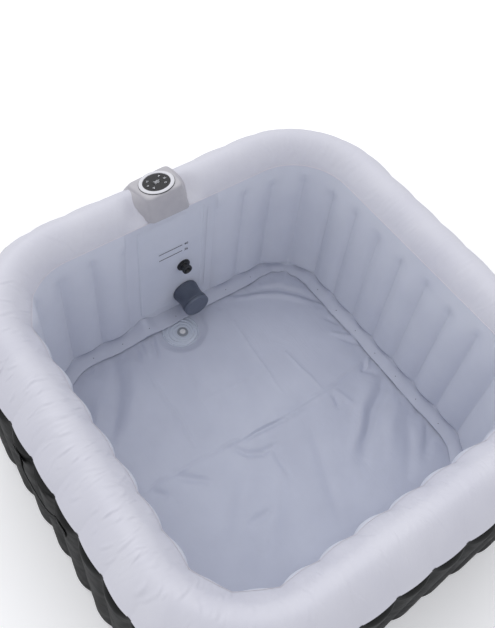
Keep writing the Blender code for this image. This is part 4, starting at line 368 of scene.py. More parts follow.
# Soft folds in millimetres: the height, the half-width and the path of each.
FOLDS = (
    (-10.5, 32, (530, -90), (438, -161), (330, -236), (230, -305)),
    (7.5, 34, (470, -80), (370, -150), (250, -250)), (6, 36, (500, -200), (400, -270), (330, -350)),
    (-7.5, 22, (540, -335), (480, -390), (430, -420)), (-4, 26, (490, -270), (400, -370), (330, -440)),
    (-6, 14, (500, -60), (475, -30), (500, -10)), (5, 10, (525, 0), (495, -30)),
    (5, 14, (545, 100), (480, 160)), (-4, 12, (545, 50), (490, 120)), (-3.5, 14, (540, 180), (500, 240)),
    (-6, 15, (340, 500), (420, 455), (500, 370)), (-6, 12, (400, 455), (480, 380), (545, 290)),
    (5, 16, (300, 500), (400, 420), (500, 320)), (-4.5, 16, (260, 520), (440, 450)),
    (-8, 27, (-290, 520), (-344, 403), (-400, 320), (-470, 235)),
    (5.5, 34, (-240, 450), (-310, 340), (-400, 220)), (4, 30, (-420, 400), (-500, 300)),
    (-6, 18, (-350, 6), (-310, -40), (-265, -85)), (-5, 18, (-445, 0), (-402, -50)),
    (-6.2, 15, (-130, -20), (-95, -70), (-50, -95), (10, -100)),
    (-6.5, 15, (-90, -14), (20, -22), (100, -26)), (-5, 18, (80, -24), (232, -30)),
    (-4, 12, (304, -47), (300, -75), (285, -100)), (3, 14, (330, -30), (345, -120)),
    (-3.5, 16, (-6, -101), (-19, -214)), (-4, 18, (-244, -284), (-151, -280)),
    (-4.5, 38, (-150, -120), (-240, -230), (-330, -300)),
    (4.5, 46, (-60, -180), (-140, -300), (-260, -400)), (-3.6, 30, (150, -120), (100, -260), (20, -440)),
    (-3, 32, (-90, 380), (-120, 240), (-120, 80)), (3, 40, (60, 420), (50, 260), (20, 120)),
    (-5, 12, (-120, 530), (-150, 440)), (-4, 14, (-190, 530), (-220, 450)),
    (4.5, 10, (-155, 540), (-175, 460)), (-4, 14, (85, 540), (60, 430)), (3.5, 18, (200, 530), (330, 470))
)
# Packing creases in millimetres: the height and the path of each sharp ridge, where the liner was
# folded almost straight across.
CREASES = (
    (3, (-480, 4), (-405, 12), (-345, 4), (-265, 6), (-166, -10)),
    (5.2, (-190, -4), (-121, -4), (-78, -10), (20, -10), (124, -22)),
    (3.4, (100, -20), (200, -24), (287, -14), (362, -12), (484, -3)),
    (3.4, (-224, 400), (-229, 250), (-227, 160), (-236, 45)),
    (2.6, (185, 420), (160, 230), (160, 150), (150, 50)),
    (3.6, (262, 200), (271, 116), (284, 30), (288, -15)), (1.4, (-100, 190), (20, 180), (160, 192))
)
CREASE_WIDTH, CREASE_ROUND = 0.0060, 0.06
WANDER, GATHER_DEPTH, SETTLED, LEAST_HEIGHT = 0.010, 0.0022, 0.0004, 0.0012
TRAPPED_LOW, TRAPPED_MORE = 0.0020, 0.0080
FOLD_STRENGTH, FOLD_TIGHTNESS = 1.45, 0.82
PATCH_PLACE, PATCH_RADIUS = (-0.0165, 0.491), 0.071


def off_path(flat, path):
    """Distance of each place from a path in millimetres, and its share of the way along it."""
    path = np.array(path) / 1000
    runs = path[1:] - path[:-1]
    lengths = np.linalg.norm(runs, axis=1)
    nearest = np.full(flat.shape[:2], 9.0)
    share = np.zeros(flat.shape[:2])
    for number, (start, run) in enumerate(zip(path, runs)):
        t = np.clip(((flat - start) @ run) / (run @ run), 0, 1)
        off = np.linalg.norm(flat - start - t[..., None] * run, axis=-1)
        closer = off < nearest
        nearest = np.where(closer, off, nearest)
        share = np.where(closer, (lengths[:number].sum() + t * lengths[number]) / lengths.sum(), share)
    return nearest, share


def fold_height(flat):
    """Height of the liner's folds over the pad, before it settles, at each place on the floor."""
    height = np.zeros(flat.shape[:2])
    for rise, half_width, *path in FOLDS:
        off, share = off_path(flat, path)
        taper = np.sin(np.clip(share, 0.03, 0.97) * math.pi) ** 0.5
        across = off / (FOLD_TIGHTNESS * half_width / 1000)
        height += FOLD_STRENGTH * rise / 1000 * taper * np.exp(-across ** 2)
    for rise, *path in CREASES:
        off, share = off_path(flat, path)
        taper = np.sin(np.clip(share, 0.0, 1.0) * math.pi) ** 0.4
        uneven = 1 + 0.45 * roughly(flat, 0.045, 7)
        sharp = np.exp(-np.sqrt((off / CREASE_WIDTH) ** 2 + CREASE_ROUND))
        height += FOLD_STRENGTH * rise / 1000 * taper * uneven * sharp
    return height


grid = disc_grid(INNER_HALF - FIT, INNER_CORNER - FIT, 0.0, LINER_POINTS)
flat = grid[..., :2]
bend = np.stack([roughly(flat, 0.11, 1), roughly(flat, 0.11, 2)], -1) * WANDER
height = fold_height(flat + bend)
height += 0.0026 * roughly(flat, 0.26, 3) + 0.0013 * roughly(flat, 0.09, 4) + 0.0004 * roughly(flat, 0.035, 5)
edge = np.maximum(np.abs(flat[..., 0]), np.abs(flat[..., 1]))
gathers = roughly(np.stack([flat[..., 0] + flat[..., 1], flat[..., 0] - flat[..., 1]], -1), 0.030, 6)
height += GATHER_DEPTH * gathers * smooth_step(edge, 0.45, 0.535)
from_patch = np.linalg.norm(flat - np.array(PATCH_PLACE), axis=-1)
near_patch = 1 - smooth_step(from_patch, PATCH_RADIUS, PATCH_RADIUS + 0.035)
# It lies up on trapped air, so that its hollows clear the pad, and comes down at the wall.
trapped = TRAPPED_LOW + TRAPPED_MORE * (1 - smooth_step(edge, 0.460, 0.550))
height = LEAST_HEIGHT * np.logaddexp(0, (height + trapped) / LEAST_HEIGHT) * (1 - near_patch) - SETTLED
over = grid.copy()
over[..., 2] = FLOOR_TOP + height
blue_grey_film = vinyl("blue_grey_pvc_film", "#BFC3D1", "#B6BAC9", 0.44, 1.6, 0.06, 0.9)
liner_sheet = skin("liner_sheet", over, blue_grey_film, around=False)
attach(liner_sheet, "tub")
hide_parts("floor_liner")

# Drain patch: a disc of clearer film over the drain hole, pressed into rings by its welding tool.
DRAIN_X, DRAIN_Y = -0.011, 0.484
PATCH_HOLE = 0.0150
# Weld rings: radius and height.
WELD_RINGS = ((0.0290, 0.0008), (0.0400, 0.0010), (0.0520, 0.0022), (0.0680, 0.0030))
RING_HALF, GROOVE_HALF, GROOVE_INSIDE, GROOVE_SHARE = 0.0024, 0.0020, 0.0045, 0.6
radius = np.concatenate(
    [np.linspace(PATCH_HOLE, PATCH_RADIUS - 0.0010, 66), [PATCH_RADIUS, PATCH_RADIUS + 0.0001]]
)
angle = np.arange(120) / 120 * 2 * math.pi
rise = 0.0014 + 0.0020 * smooth_step(radius, PATCH_HOLE, 0.045) * (1 - smooth_step(radius, 0.050, 0.066))
for at, high in WELD_RINGS:
    groove = np.exp(-((radius - at + GROOVE_INSIDE) / GROOVE_HALF) ** 2)
    rise = rise + high * (np.exp(-((radius - at) / RING_HALF) ** 2) - GROOVE_SHARE * groove)
rise[-1] = 0.0
x = DRAIN_X + np.cos(angle)[:, None] * radius
y = DRAIN_Y + np.sin(angle)[:, None] * radius
shift = smooth_step(radius, 0.020, PATCH_RADIUS)
x = x + (PATCH_PLACE[0] - DRAIN_X) * shift
y = y + (PATCH_PLACE[1] - DRAIN_Y) * shift
lumpy = 0.0007 * roughly(np.stack([x, y], -1), 0.022, 31) * smooth_step(radius, 0.020, 0.040)[None, :]
z = FLOOR_TOP + np.maximum(rise[None, :] + lumpy * (radius < PATCH_RADIUS - 0.002)[None, :], 0.0003)
patch_film = vinyl("drain_patch_film", "#C6CCD8", "#B9C0CE", 0.30, 1.6, 0.04)
drain_patch = skin("drain_patch", np.stack([x, y, z], -1), patch_film, inside_out=False)
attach(drain_patch, "tub")


# --------------------------------------------------
# Inner wall. The same blue-grey film, drawn in by upright welds every 120 mm and blown out into
# ribs between them. The welds stop short of the seam, and a flat bay at the back has none.

SEAM = 0.5941
DUCT_TOP = 0.0440
WALL_FOOT = 0.0018
RIBS, RIB_COLUMNS = 9, 28
RIB_BULGE = 0.018
RIB_FADE = 0.026
# How far below the seam the ribs are fully blown out, and where their welds begin and deepen,
# on the two far sides and on the two near ones, which are blown hard right up to the seam.
FAR_SWELL, NEAR_SWELL = 0.170, 0.060
FAR_START, NEAR_START, WELD_FADE = 0.030, -0.030, 0.060
SEAM_SCALLOP = 0.007
BAY_RIBS = 3


def rib_shape(phase, sharpness):
    """Share of the full bulge across a rib: none at the welds, all of it in the middle."""
    return 1 - np.abs(2 * phase - 1) ** sharpness


def near_share(distance, half, corner):
    """One on the front and left sides, none on the right and back ones, eased at the corners."""
    side = (distance / side_length(half, corner) + 0.5) % 4 - 0.5
    return smooth_step(np.abs(side - 1.5), 0.93, 1.07)


def wall_grid(
    half, corner, ribs, columns_each, rows, bulge, sharpness, envelope, weld_depth, seed, swell_share
):
    """Columns of points up a ribbed wall, with its welds and the bulge of the ribs between."""
    count = 4 * ribs * columns_each
    number = np.arange(count) / columns_each
    pitch = side_length(half, corner) / ribs
    near = near_share((number - ribs / 2) * pitch, half, corner)[:, None]
    place, outward = along_ring((number - ribs / 2) * pitch, half, corner)
    phase, rib = number % 1.0, np.floor(number)
    flat_bay = np.abs(rib - (2 * ribs + ribs // 2)) <= BAY_RIBS // 2
    z = rows[None, :]
    depth = rib_shape(phase, sharpness)[:, None]
    swell = (1 + swell_share * np.sin(rib * 2.4 + seed))[:, None]
    late = (0.010 * np.sin(np.round(number) * 3.7 + seed))[:, None]
    welds = weld_depth(z, late, near)
    out = bulge * envelope(z, near) * (1 - welds * (1 - depth)) * (1 - welds + welds * swell)
    out = np.where(flat_bay[:, None], 0.0, out)
    flat = place[:, None, :] + outward[:, None, :] * out[..., None]
    return np.concatenate([flat, np.broadcast_to(z, out.shape)[..., None]], -1), out, number


def inner_envelope(z, near):
    up = np.clip((z - DUCT_TOP) / RIB_FADE, 0, 1)
    down = np.clip((SEAM - z) / (FAR_SWELL + (NEAR_SWELL - FAR_SWELL) * near), 0, 1)
    return np.sin(up * math.pi / 2) ** 0.7 * np.sin(down * math.pi / 2) ** 0.95


def inner_welds(z, late, near):
    start = FAR_START + (NEAR_START - FAR_START) * near + late * (1 - near)
    return smooth_step(SEAM - z, start, start + WELD_FADE)


def scallop(distance):
    """How far the ribs of the near sides push their seam in, between the welds."""
    phase = (distance / side_length(INNER_HALF, INNER_CORNER) * RIBS + RIBS / 2) % 1.0
    return SEAM_SCALLOP * rib_shape(phase, 2.0) * near_share(distance, INNER_HALF, INNER_CORNER)


rows = np.concatenate(
    [
        [WALL_FOOT, 0.025, 0.036], np.linspace(DUCT_TOP, DUCT_TOP + 0.06, 21),
        np.linspace(DUCT_TOP + 0.075, SEAM - 0.11, 17), np.linspace(SEAM - 0.10, SEAM - 0.0011, 22)
    ]
)
grid, out, number = wall_grid(
    INNER_HALF, INNER_CORNER, RIBS, RIB_COLUMNS, rows, -RIB_BULGE, 2.3, inner_envelope, inner_welds, 1.0,
    0.10
)
# Each weld puckers the film beside it.
pitch = side_length(INNER_HALF, INNER_CORNER) / RIBS
across = np.minimum(number % 1.0, 1 - number % 1.0) * pitch
spots = np.stack(np.broadcast_arrays((number * pitch)[:, None], rows[None, :]), -1)
pucker = roughly(spots / np.array([1.0, 0.55]), 0.020, 11) * np.exp(-across / 0.016)[:, None]
distance = (number - RIBS / 2) * pitch
near = near_share(distance, INNER_HALF, INNER_CORNER)[:, None]
moves = inner_envelope(rows[None, :], near) * np.where(out != 0, 1, 0)
slack = 0.0008 * roughly(spots, 0.075, 12)
push = scallop(distance)[:, None] * smooth_step(rows[None, :], SEAM - 0.09, SEAM)
_, outward = along_ring(distance, INNER_HALF, INNER_CORNER)
grid[..., :2] += outward[:, None, :] * ((0.0013 * pucker + slack) * moves - push)[..., None]
ribbed_film = vinyl("ribbed_pvc_film", "#D9DCE5", "#D3D6E1", 0.44, 1.6, 0.05)
inner_liner = skin("ribbed_liner", grid, ribbed_film, inside_out=True)
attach(inner_liner, "tub")
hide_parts("inner_wall")


# --------------------------------------------------
# Air duct. A strip of film folded over at its lower edge and welded to the wall along its upper
# one. Bubbles leave through pin holes punched along it.

HOLE_PITCH, HOLES_A_SIDE, HOLE_RADIUS, HOLE_STEP, HOLE_SIDES = 0.118, 7, 0.0017, 5, 12
DUCT_COLUMNS, STRIP_THICKNESS = 24, 0.0006
# Points of its section: in from the wall, up from the liner.
DUCT_SECTION = (
    (0.0004, 0.0275), (0.0012, 0.0262), (0.0080, 0.0256), (0.0170, 0.0242), (0.0260, 0.0220),
    (0.0350, 0.0190), (0.0430, 0.0155), (0.0500, 0.0104), (0.0545, 0.0066), (0.0555, 0.0046),
    (0.0530, 0.0034), (0.0460, 0.0028)
)
# At the back right corner the strip is gathered into a few tight folds.
GATHER_AT, GATHER_WIDTH, GATHER_FOLD = 1.52, 0.085, 0.005
INLET_ALONG, INLET_HALF, INLET_RISE, INLET_PUSH = 0.127, 0.034, 0.0300, 0.0060
count = 4 * RIBS * DUCT_COLUMNS
number = np.arange(count) / DUCT_COLUMNS
length = side_length(INNER_HALF, INNER_CORNER)
distance = (number - RIBS / 2) * length / RIBS
place, outward = along_ring(distance, INNER_HALF, INNER_CORNER)
section = np.array(DUCT_SECTION)
low_share = np.linspace(0, 1, len(section))
spots = np.stack(np.broadcast_arrays(distance[:, None], low_share[None, :] * 0.06), -1)
wave = roughly(spots, 0.045, 21) * 0.0016 + roughly(spots / np.array([0.35, 1.0]), 0.030, 22) * 0.0008
lip = roughly(np.stack([distance, distance * 0], -1), 0.085, 23)
drift = roughly(np.stack([distance, distance * 0], -1), 0.150, 25)
inward = section[:, 0][None, :] * (
    1 + 0.07 * lip[:, None] + 0.10 * drift[:, None]
) + wave * (low_share[None, :] > 0.05)
rise = section[:, 1][None, :] + (0.0030 + 0.0030 * lip[:, None]) * smooth_step(low_share, 0.5, 0.8)[None, :]
# A slack fold runs along the strip, above its lip.
rise -= 0.0016 * np.exp(
    -((low_share - 0.52 - 0.06 * drift[:, None]) / 0.055) ** 2
) * (0.6 + 0.4 * lip[:, None])
rise += 0.0012 * roughly(np.stack([distance, distance * 0], -1), 0.05, 24)[:, None] * (1 - low_share[None, :])
beside = distance - GATHER_AT * length
gather = np.exp(-(beside / GATHER_WIDTH) ** 2)[:, None]
folds = GATHER_FOLD * np.sin(beside / 0.0110)[:, None] * gather
inward = inward * (1 - 0.42 * gather) + folds * low_share[None, :]
rise = rise * (1 - 0.45 * gather) + 0.5 * folds * (1 - low_share[None, :])
# It swells over the air inlet behind it.
over_inlet = np.exp(
    -((distance - 2 * length - INLET_ALONG) / INLET_HALF) ** 2
)[:, None] * (1 - low_share)[None, :]
rise = rise + INLET_RISE * over_inlet
inward = inward + INLET_PUSH * over_inlet * (low_share > 0.02)[None, :]
flat = place[:, None, :] - outward[:, None, :] * inward[..., None]
grid = np.concatenate([flat, (FLOOR_TOP + np.maximum(rise, 0.0012))[..., None]], -1)
duct_strip = skin("duct_strip", grid, blue_grey_film, inside_out=False)
duct_strip.modifiers.new("film", "SOLIDIFY").thickness = STRIP_THICKNESS
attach(duct_strip, "tub")
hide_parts("air_duct")
# Pin holes: each is a dished disc, drawn twice its real 1.7 mm so that it shows. Its dark colour is painted
# shade, standing in for the open hole.
hole_shade_film = vinyl("painted_hole_shade_film", "#3E4350", "#343946", 0.60, 1.0, 0.05)
points, faces = [], []
for side in range(4):
    for hole in range(HOLES_A_SIDE):
        at = side * length + (hole - (HOLES_A_SIDE - 1) / 2) * HOLE_PITCH
        nearest = int(round((at / length * RIBS + RIBS / 2) * DUCT_COLUMNS)) % count
        middle = grid[nearest, HOLE_STEP]
        along = grid[(nearest + 1) % count, HOLE_STEP] - middle
        down = grid[nearest, HOLE_STEP + 1] - middle
        along, down = along / np.linalg.norm(along), down / np.linalg.norm(down)
        up = np.cross(along, down)
        up = up * np.sign(up[2])
        first = len(points)
        for ring_radius, lift in ((HOLE_RADIUS, 0.0003), (HOLE_RADIUS * 0.6, 0.0006)):
            for turn in range(HOLE_SIDES):
                angle = turn / HOLE_SIDES * 2 * math.pi
                spoke = along * math.cos(angle) + down * math.sin(angle)
                points.append(middle + spoke * ring_radius + up * lift)
        points.append(middle + up * 0.0004)
        flip = np.dot(np.cross(along, down), up) > 0
        inner, centre = first + HOLE_SIDES, first + 2 * HOLE_SIDES
        for turn in range(HOLE_SIDES):
            after = (turn + 1) % HOLE_SIDES
            band = [first + turn, first + after, inner + after, inner + turn]
            cap = [inner + turn, inner + after, centre]
            faces += [band, cap] if flip else [band[::-1], cap[::-1]]
pin_holes = build("pin_holes", points, faces, hole_shade_film)
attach(pin_holes, "tub")


# --------------------------------------------------
# Outer wall. Black PVC tarpaulin with a coarse matt grain, drawn in by more and closer welds
# than the inner wall. Its top edge is welded to the roll.

OUTER_SEAM = 0.5746
OUTER_RIBS, OUTER_COLUMNS = 11, 20
OUTER_BULGE = 0.020


def outer_envelope(z, near=0.0):
    up = np.clip((z - WALL_FOOT) / RIB_FADE, 0, 1)
    down = np.clip((OUTER_SEAM - z) / RIB_FADE, 0, 1)
    return np.sin(up * math.pi / 2) ** 0.8 * np.sin(down * math.pi / 2) ** 0.62


def outer_welds(z, late, near):
    return np.ones_like(z + late + near)


rows = np.concatenate(
    [
        np.linspace(WALL_FOOT, WALL_FOOT + 0.055, 10),
        np.linspace(WALL_FOOT + 0.075, OUTER_SEAM - 0.075, 12),
        np.linspace(OUTER_SEAM - 0.055, OUTER_SEAM - 0.0011, 12)
    ]
)
grid, out, number = wall_grid(
    OUTER_HALF, OUTER_CORNER, OUTER_RIBS, OUTER_COLUMNS, rows, OUTER_BULGE, 2.3, outer_envelope,
    outer_welds, 2.0, 0.03
)
outer_pitch = side_length(OUTER_HALF, OUTER_CORNER) / OUTER_RIBS
across = np.minimum(number % 1.0, 1 - number % 1.0) * outer_pitch
spots = np.stack(np.broadcast_arrays((number * outer_pitch)[:, None], rows[None, :]), -1)
moves = np.where(out != 0, 1, 0) * outer_envelope(rows[None, :])
pucker = 0.0016 * roughly(spots / np.array([1.0, 0.5]), 0.024, 31) * np.exp(-across / 0.020)[:, None]
slack = 0.0010 * roughly(spots, 0.080, 32) - 0.0010
_, outward = along_ring((number - OUTER_RIBS / 2) * outer_pitch, OUTER_HALF, OUTER_CORNER)
grid[..., :2] += outward[:, None, :] * ((pucker + slack) * moves)[..., None]
black_wall = skin("black_wall", grid, black_tarpaulin)
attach(black_wall, "tub")
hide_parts("outer_wall")


# --------------------------------------------------
# Internal web. A strip of coated polyester scrim runs to and fro inside the wall, welded in turn
# to the inner and the outer film. It holds the two walls apart and keeps them flat.

WEB_LOW, WEB_HIGH = 0.1231, 0.5246
WEB_OFF_WALL = 0.0024
WEB_THICKNESS = 0.0012
YARN_MM = 1.4


def weld_place(side, index, half, corner, ribs, off):
    """The place of a weld, counted from the middle of its side, set off from the film."""
    length = side_length(half, corner)
    place, outward = along_ring(np.array(side * length + index * length / ribs), half, corner)
    return place + outward * off


def web_path():
    """The web's turns as seen from above, open at the pump bay in the back."""
    bay, last_in, last_out = BAY_RIBS / 2, RIBS / 2, OUTER_RIBS / 2
    stops = []
    for lap, side in enumerate((2, 3, 4, 5, 6)):
        first = bay if lap == 0 else 1 - last_in
        last = -bay if lap == 4 else last_in
        stops += [(side, index) for index in np.arange(first, last + 0.1)]
    path = []
    for number, (side, index) in enumerate(stops):
        at_corner, past_corner = index == last_in, index == 1 - last_in
        inner = weld_place(side, index, INNER_HALF, INNER_CORNER, RIBS, WEB_OFF_WALL)
        outer = weld_place(
            side, last_out if at_corner else index, OUTER_HALF, OUTER_CORNER, OUTER_RIBS, -WEB_OFF_WALL
        )
        if number % 2 == 0:
            path += [inner, outer]
            continue
        if at_corner or (past_corner and number):
            spare = last_out - 1 if at_corner else 1 - last_out
            path.append(weld_place(side, spare, OUTER_HALF, OUTER_CORNER, OUTER_RIBS, -WEB_OFF_WALL))
        path += [outer, inner]
    return np.array(path)


# Coated scrim: polyester yarns in a loose square weave under clear PVC, pale and faintly shiny.
coated_scrim, tree = new_material("coated_polyester_scrim")
metres = add_node(tree, "UVMap", {"uv_map": "metres"})
yarns = []
for direction in ("X", "Y"):
    yarns.append(
        add_node(tree, "TexWave", {
            "bands_direction": direction, "Vector": metres, "Scale": 1000 / YARN_MM / 20 * 2 * math.pi,
            "Distortion": 0.6
        }).outputs["Fac"]
    )
weave = add_node(tree, "Math", {"operation": "MAXIMUM", 0: yarns[0], 1: yarns[1]})
finish(tree, weave, "#AEB1B8", "#D4D5DA", (0.6, 0.0003), {"Roughness": 0.55})

path = web_path()
legs = []
for start, end in zip(path[:-1], path[1:]):
    # Each leg is split into eight even steps.
    share = np.linspace(0, 1, 9)[:-1]
    legs.append(start + (end - start) * share[:, None])
path = np.concatenate(legs + [path[-1:]])
height = np.linspace(WEB_LOW, WEB_HIGH, 13)
edge = np.abs(height - (WEB_LOW + WEB_HIGH) / 2) / (WEB_HIGH - WEB_LOW) * 2
ripple = 0.0016 * np.sin(np.arange(len(path)) * 1.7)[:, None] * edge[None, :] ** 3
grid = np.concatenate(
    [
        np.broadcast_to(path[:, None, :], (len(path), len(height), 2)),
        np.broadcast_to(height[None, :], (len(path), len(height)))[..., None] + ripple[..., None]
    ], -1
)
scrim_web = skin("scrim_web", grid, coated_scrim, around=False)
scrim_web.modifiers.new("film", "SOLIDIFY").thickness = WEB_THICKNESS
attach(scrim_web, "tub")
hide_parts("internal_web")


# --------------------------------------------------
# Top roll. White PVC film over a fabric core, welded to the top of both walls and blown up hard.
# It is cut from flat film, so it draws into fine creases across its length, most at the corners.

ROLL_CURVES = (
    ((0.0, 0.0), (0.012, 0.026), (0.034, 0.072), (0.078, 0.0755)),
    ((0.078, 0.0755), (0.118, 0.0787), (0.158, 0.0105), (0.179, -0.0195))
)
ROLL_STEPS, ROLL_COLUMNS = 28, 576
# Creases of each side: the side, how many, how deep, and where they start and end over the roll.
SIDE_CREASES = (
    (3, 190, 0.0017, 0.02, 0.80), (0, 150, 0.0012, 0.02, 0.70), (1, 110, 0.0005, 0.01, 0.62),
    (2, 90, 0.0005, 0.01, 0.55)
)
RIB_PUSH, RIB_PUSH_START, RIB_PUSH_END = 0.0055, 0.50, 0.92


def roll_section(steps):
    """Points across the roll: out from the inner seam, and up from it."""
    points = [np.zeros(2)]
    for curve in ROLL_CURVES:
        first, second, third, last = (np.array(point) for point in curve)
        for t in np.arange(1, steps + 1) / steps:
            points.append(
                first * (1 - t) ** 3 + second * 3 * t * (1 - t) ** 2
                + third * 3 * t * t * (1 - t) + last * t ** 3
            )
    return np.array(points)


def wrinkles(length, whole):
    """Short creases across the roll: place along, place over, half length, width, depth, turn."""
    dice = np.random.default_rng(7)
    made = []
    for side, number, deep, low, high in SIDE_CREASES:
        for _ in range(number):
            over = (low + (high - low) * dice.random() ** 1.2) * whole
            half_run = 0.012 + 0.028 * dice.random() ** 1.5
            wide = 0.0030 + 0.0024 * dice.random()
            depth = deep * (0.35 + 0.9 * dice.random() ** 1.6) * (0.6 + 0.4 * half_run / 0.040)
            at = (side + dice.random() - 0.5) * length
            made.append((at, over, half_run, wide, depth, 0.30 * dice.standard_normal()))
    return made


length = side_length(INNER_HALF, INNER_CORNER)
distance = (np.arange(4 * ROLL_COLUMNS) / ROLL_COLUMNS - 0.5) * length
place, outward = along_ring(distance, INNER_HALF, INNER_CORNER)
section = roll_section(ROLL_STEPS)
way = np.gradient(section, axis=0)
way /= np.linalg.norm(way, axis=1)[:, None]
normal = np.stack([-way[:, 1], way[:, 0]], -1)
span = np.concatenate([[0], np.cumsum(np.linalg.norm(np.diff(section, axis=0), axis=1))])
held = smooth_step(span, 0.0, 0.020) * smooth_step(span[-1] - span, 0.0, 0.020)
spots = np.stack(np.broadcast_arrays(distance[:, None], span[None, :]), -1)
lean = spots.copy()
lean[..., 0] += 0.22 * spots[..., 1] + 0.010 * roughly(spots, 0.09, 41)
strength = 0.35 + 0.65 * smooth_step(roughly(spots, 0.24, 42), -0.25, 0.45)
# The left and front sides are slacker than the far ones.
side_share = (distance / length + 0.5) % 4
slacker = 1.25 - 0.75 * smooth_step(np.abs(((side_share - 4.0) + 2) % 4 - 2), 0.7, 1.5)
inner_side = 1 - 0.55 * smooth_step(span / span[-1], 0.25, 0.80)
strength = strength * slacker[:, None] * inner_side[None, :] * held[None, :]
creases = roughly(lean / np.array([1.0, 6.0]), 0.0115, 43)
fine = roughly(lean / np.array([1.0, 5.0]), 0.0062, 44)
lift = (0.0013 * np.sign(creases) * np.abs(creases) ** 1.2 + 0.0004 * fine) * strength
for at, over, half_run, wide, deep, turn in wrinkles(length, span[-1]):
    from_at = (distance - at + 2 * length) % (4 * length) - 2 * length
    near_by = np.flatnonzero(np.abs(from_at) < half_run * abs(math.sin(turn)) + 4 * wide)
    if len(near_by) == 0:
        continue
    across, down = from_at[near_by][:, None], span[None, :] - over
    run = down * math.cos(turn) + across * math.sin(turn)
    off = across * math.cos(turn) - down * math.sin(turn) + 0.10 * run * run / half_run
    ridge = np.exp(-(off / wide) ** 2) - 0.75 * np.exp(-((off - 1.5 * wide) / wide) ** 2)
    lift[near_by] += deep * ridge * np.maximum(1 - (run / half_run) ** 2, 0) * held[None, :]
lift += (0.0011 * roughly(spots, 0.13, 45) + 0.0006 * roughly(spots, 0.055, 46)) * held[None, :]
corner_turn = np.abs(((distance / length) % 1.0) - 0.5)
radial = smooth_step(0.16 - corner_turn, 0.0, 0.10)
lift += (0.0008 * roughly(spots / np.array([1.0, 8.0]), 0.016, 47) * radial[:, None]) * held[None, :]
# The ribs of the outer wall push the roll's lower edge out between their welds.
side = np.floor(distance / length + 0.5)
along = distance - side * length
in_corner = np.maximum(0, np.abs(along) - (INNER_HALF - INNER_CORNER))
along = along + np.sign(along) * in_corner * (OUTER_CORNER / INNER_CORNER - 1)
outer_rib = (along / side_length(OUTER_HALF, OUTER_CORNER) + side + 0.5) * OUTER_RIBS
lower = smooth_step(span / span[-1], RIB_PUSH_START, RIB_PUSH_END)
pushed = RIB_PUSH * rib_shape(outer_rib % 1.0, 2.0)[:, None] * lower[None, :]
outer_rib = np.floor(outer_rib)
in_bay = np.abs(outer_rib - (2 * OUTER_RIBS + OUTER_RIBS // 2)) <= BAY_RIBS // 2
pushed = np.where(in_bay[:, None], 0.0, pushed)
# The control housing presses a shallow saddle into the roll.
SADDLE_AT, SADDLE_HALF, SADDLE_FADE, SADDLE_DEEP = 0.012, 0.094, 0.040, 0.021
beside = np.maximum(0, np.abs(distance - 2 * length - SADDLE_AT) - SADDLE_HALF)
saddle = SADDLE_DEEP * np.exp(-(beside / SADDLE_FADE) ** 2)
lift -= saddle[:, None] * np.sin(np.clip(span / 0.150, 0, 1) * math.pi)[None, :]
pressed = scallop(distance)[:, None] * (1 - smooth_step(span, 0.0, 0.060))[None, :]
out = section[None, :, 0] + normal[None, :, 0] * lift + pushed - pressed
up = section[None, :, 1] + normal[None, :, 1] * lift + pushed * 0.3
flat = place[:, None, :] + outward[:, None, :] * out[..., None]
grid = np.concatenate([flat, (SEAM + up)[..., None]], -1)
white_film = vinyl("white_pvc_film", "#D3D3DB", "#CCCCD6", 0.40, 1.5, 0.05, 1.0)
white_roll = skin("white_roll", grid, white_film)
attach(white_roll, "tub")
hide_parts("top_roll")

# Seams: the film's edges are pressed together into a narrow bead.
SEAM_BEAD_HALF, SEAM_BEAD_RISE, SEAM_COLUMNS = 0.0018, 0.0011, 128
seam_film = vinyl("welded_seam_film", "#E9E4EA", "#E0DBE3", 0.36, 1.5, 0.04)
for name, height, half, corner, toward, film, slot in (
    ("inner_seam", SEAM, INNER_HALF, INNER_CORNER, -1, seam_film, "white_pvc"),
    ("outer_seam", OUTER_SEAM, OUTER_HALF, OUTER_CORNER, 1, black_tarpaulin, "black_pvc")
):
    distance = (np.arange(4 * SEAM_COLUMNS) / SEAM_COLUMNS - 0.5) * side_length(half, corner)
    place, outward = along_ring(distance, half, corner)
    turn = np.linspace(-math.pi / 2, math.pi / 2, 6)
    bead_out = toward * SEAM_BEAD_RISE * np.cos(turn)[None, :] - (scallop(distance) * (toward < 0))[:, None]
    bead_up = SEAM_BEAD_HALF * np.sin(turn)
    flat = place[:, None, :] + outward[:, None, :] * bead_out[..., None]
    z = np.broadcast_to(height + bead_up, flat.shape[:2])
    seam = skin(name, np.concatenate([flat, z[..., None]], -1), film, inside_out=toward < 0)
    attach(seam, "tub")


# --------------------------------------------------
# Pump panel. A plate of the wall's film on a stiff backing, welded over the window to the pump.
# The welding bar leaves a raised edge all round, and two level lines are printed on its face.

PANEL_HALF, PANEL_LOW, PANEL_HIGH, PANEL_ROUND = 0.133, 0.0771, 0.5661, 0.030
PANEL_FACE, PANEL_WELD, PANEL_WELD_RISE = 0.5845, 0.0055, 0.0011
LEVEL_LINES = ((0.4042, "40"), (0.3725, "36"))
LINE_START, LINE_END, LINE_THICK, NUMBER_AT, NUMBER_HIGH = -0.050, 0.046, 0.0034, 0.054, 0.0115
PRINT_PROUD = 0.0003


def panel_half(z):
    """Half the panel's width at a height, with its lower corners rounded."""
    below = np.clip(PANEL_LOW + PANEL_ROUND - z, 0, PANEL_ROUND)
    return PANEL_HALF - PANEL_ROUND + np.sqrt(np.maximum(PANEL_ROUND ** 2 - below ** 2, 1e-8))


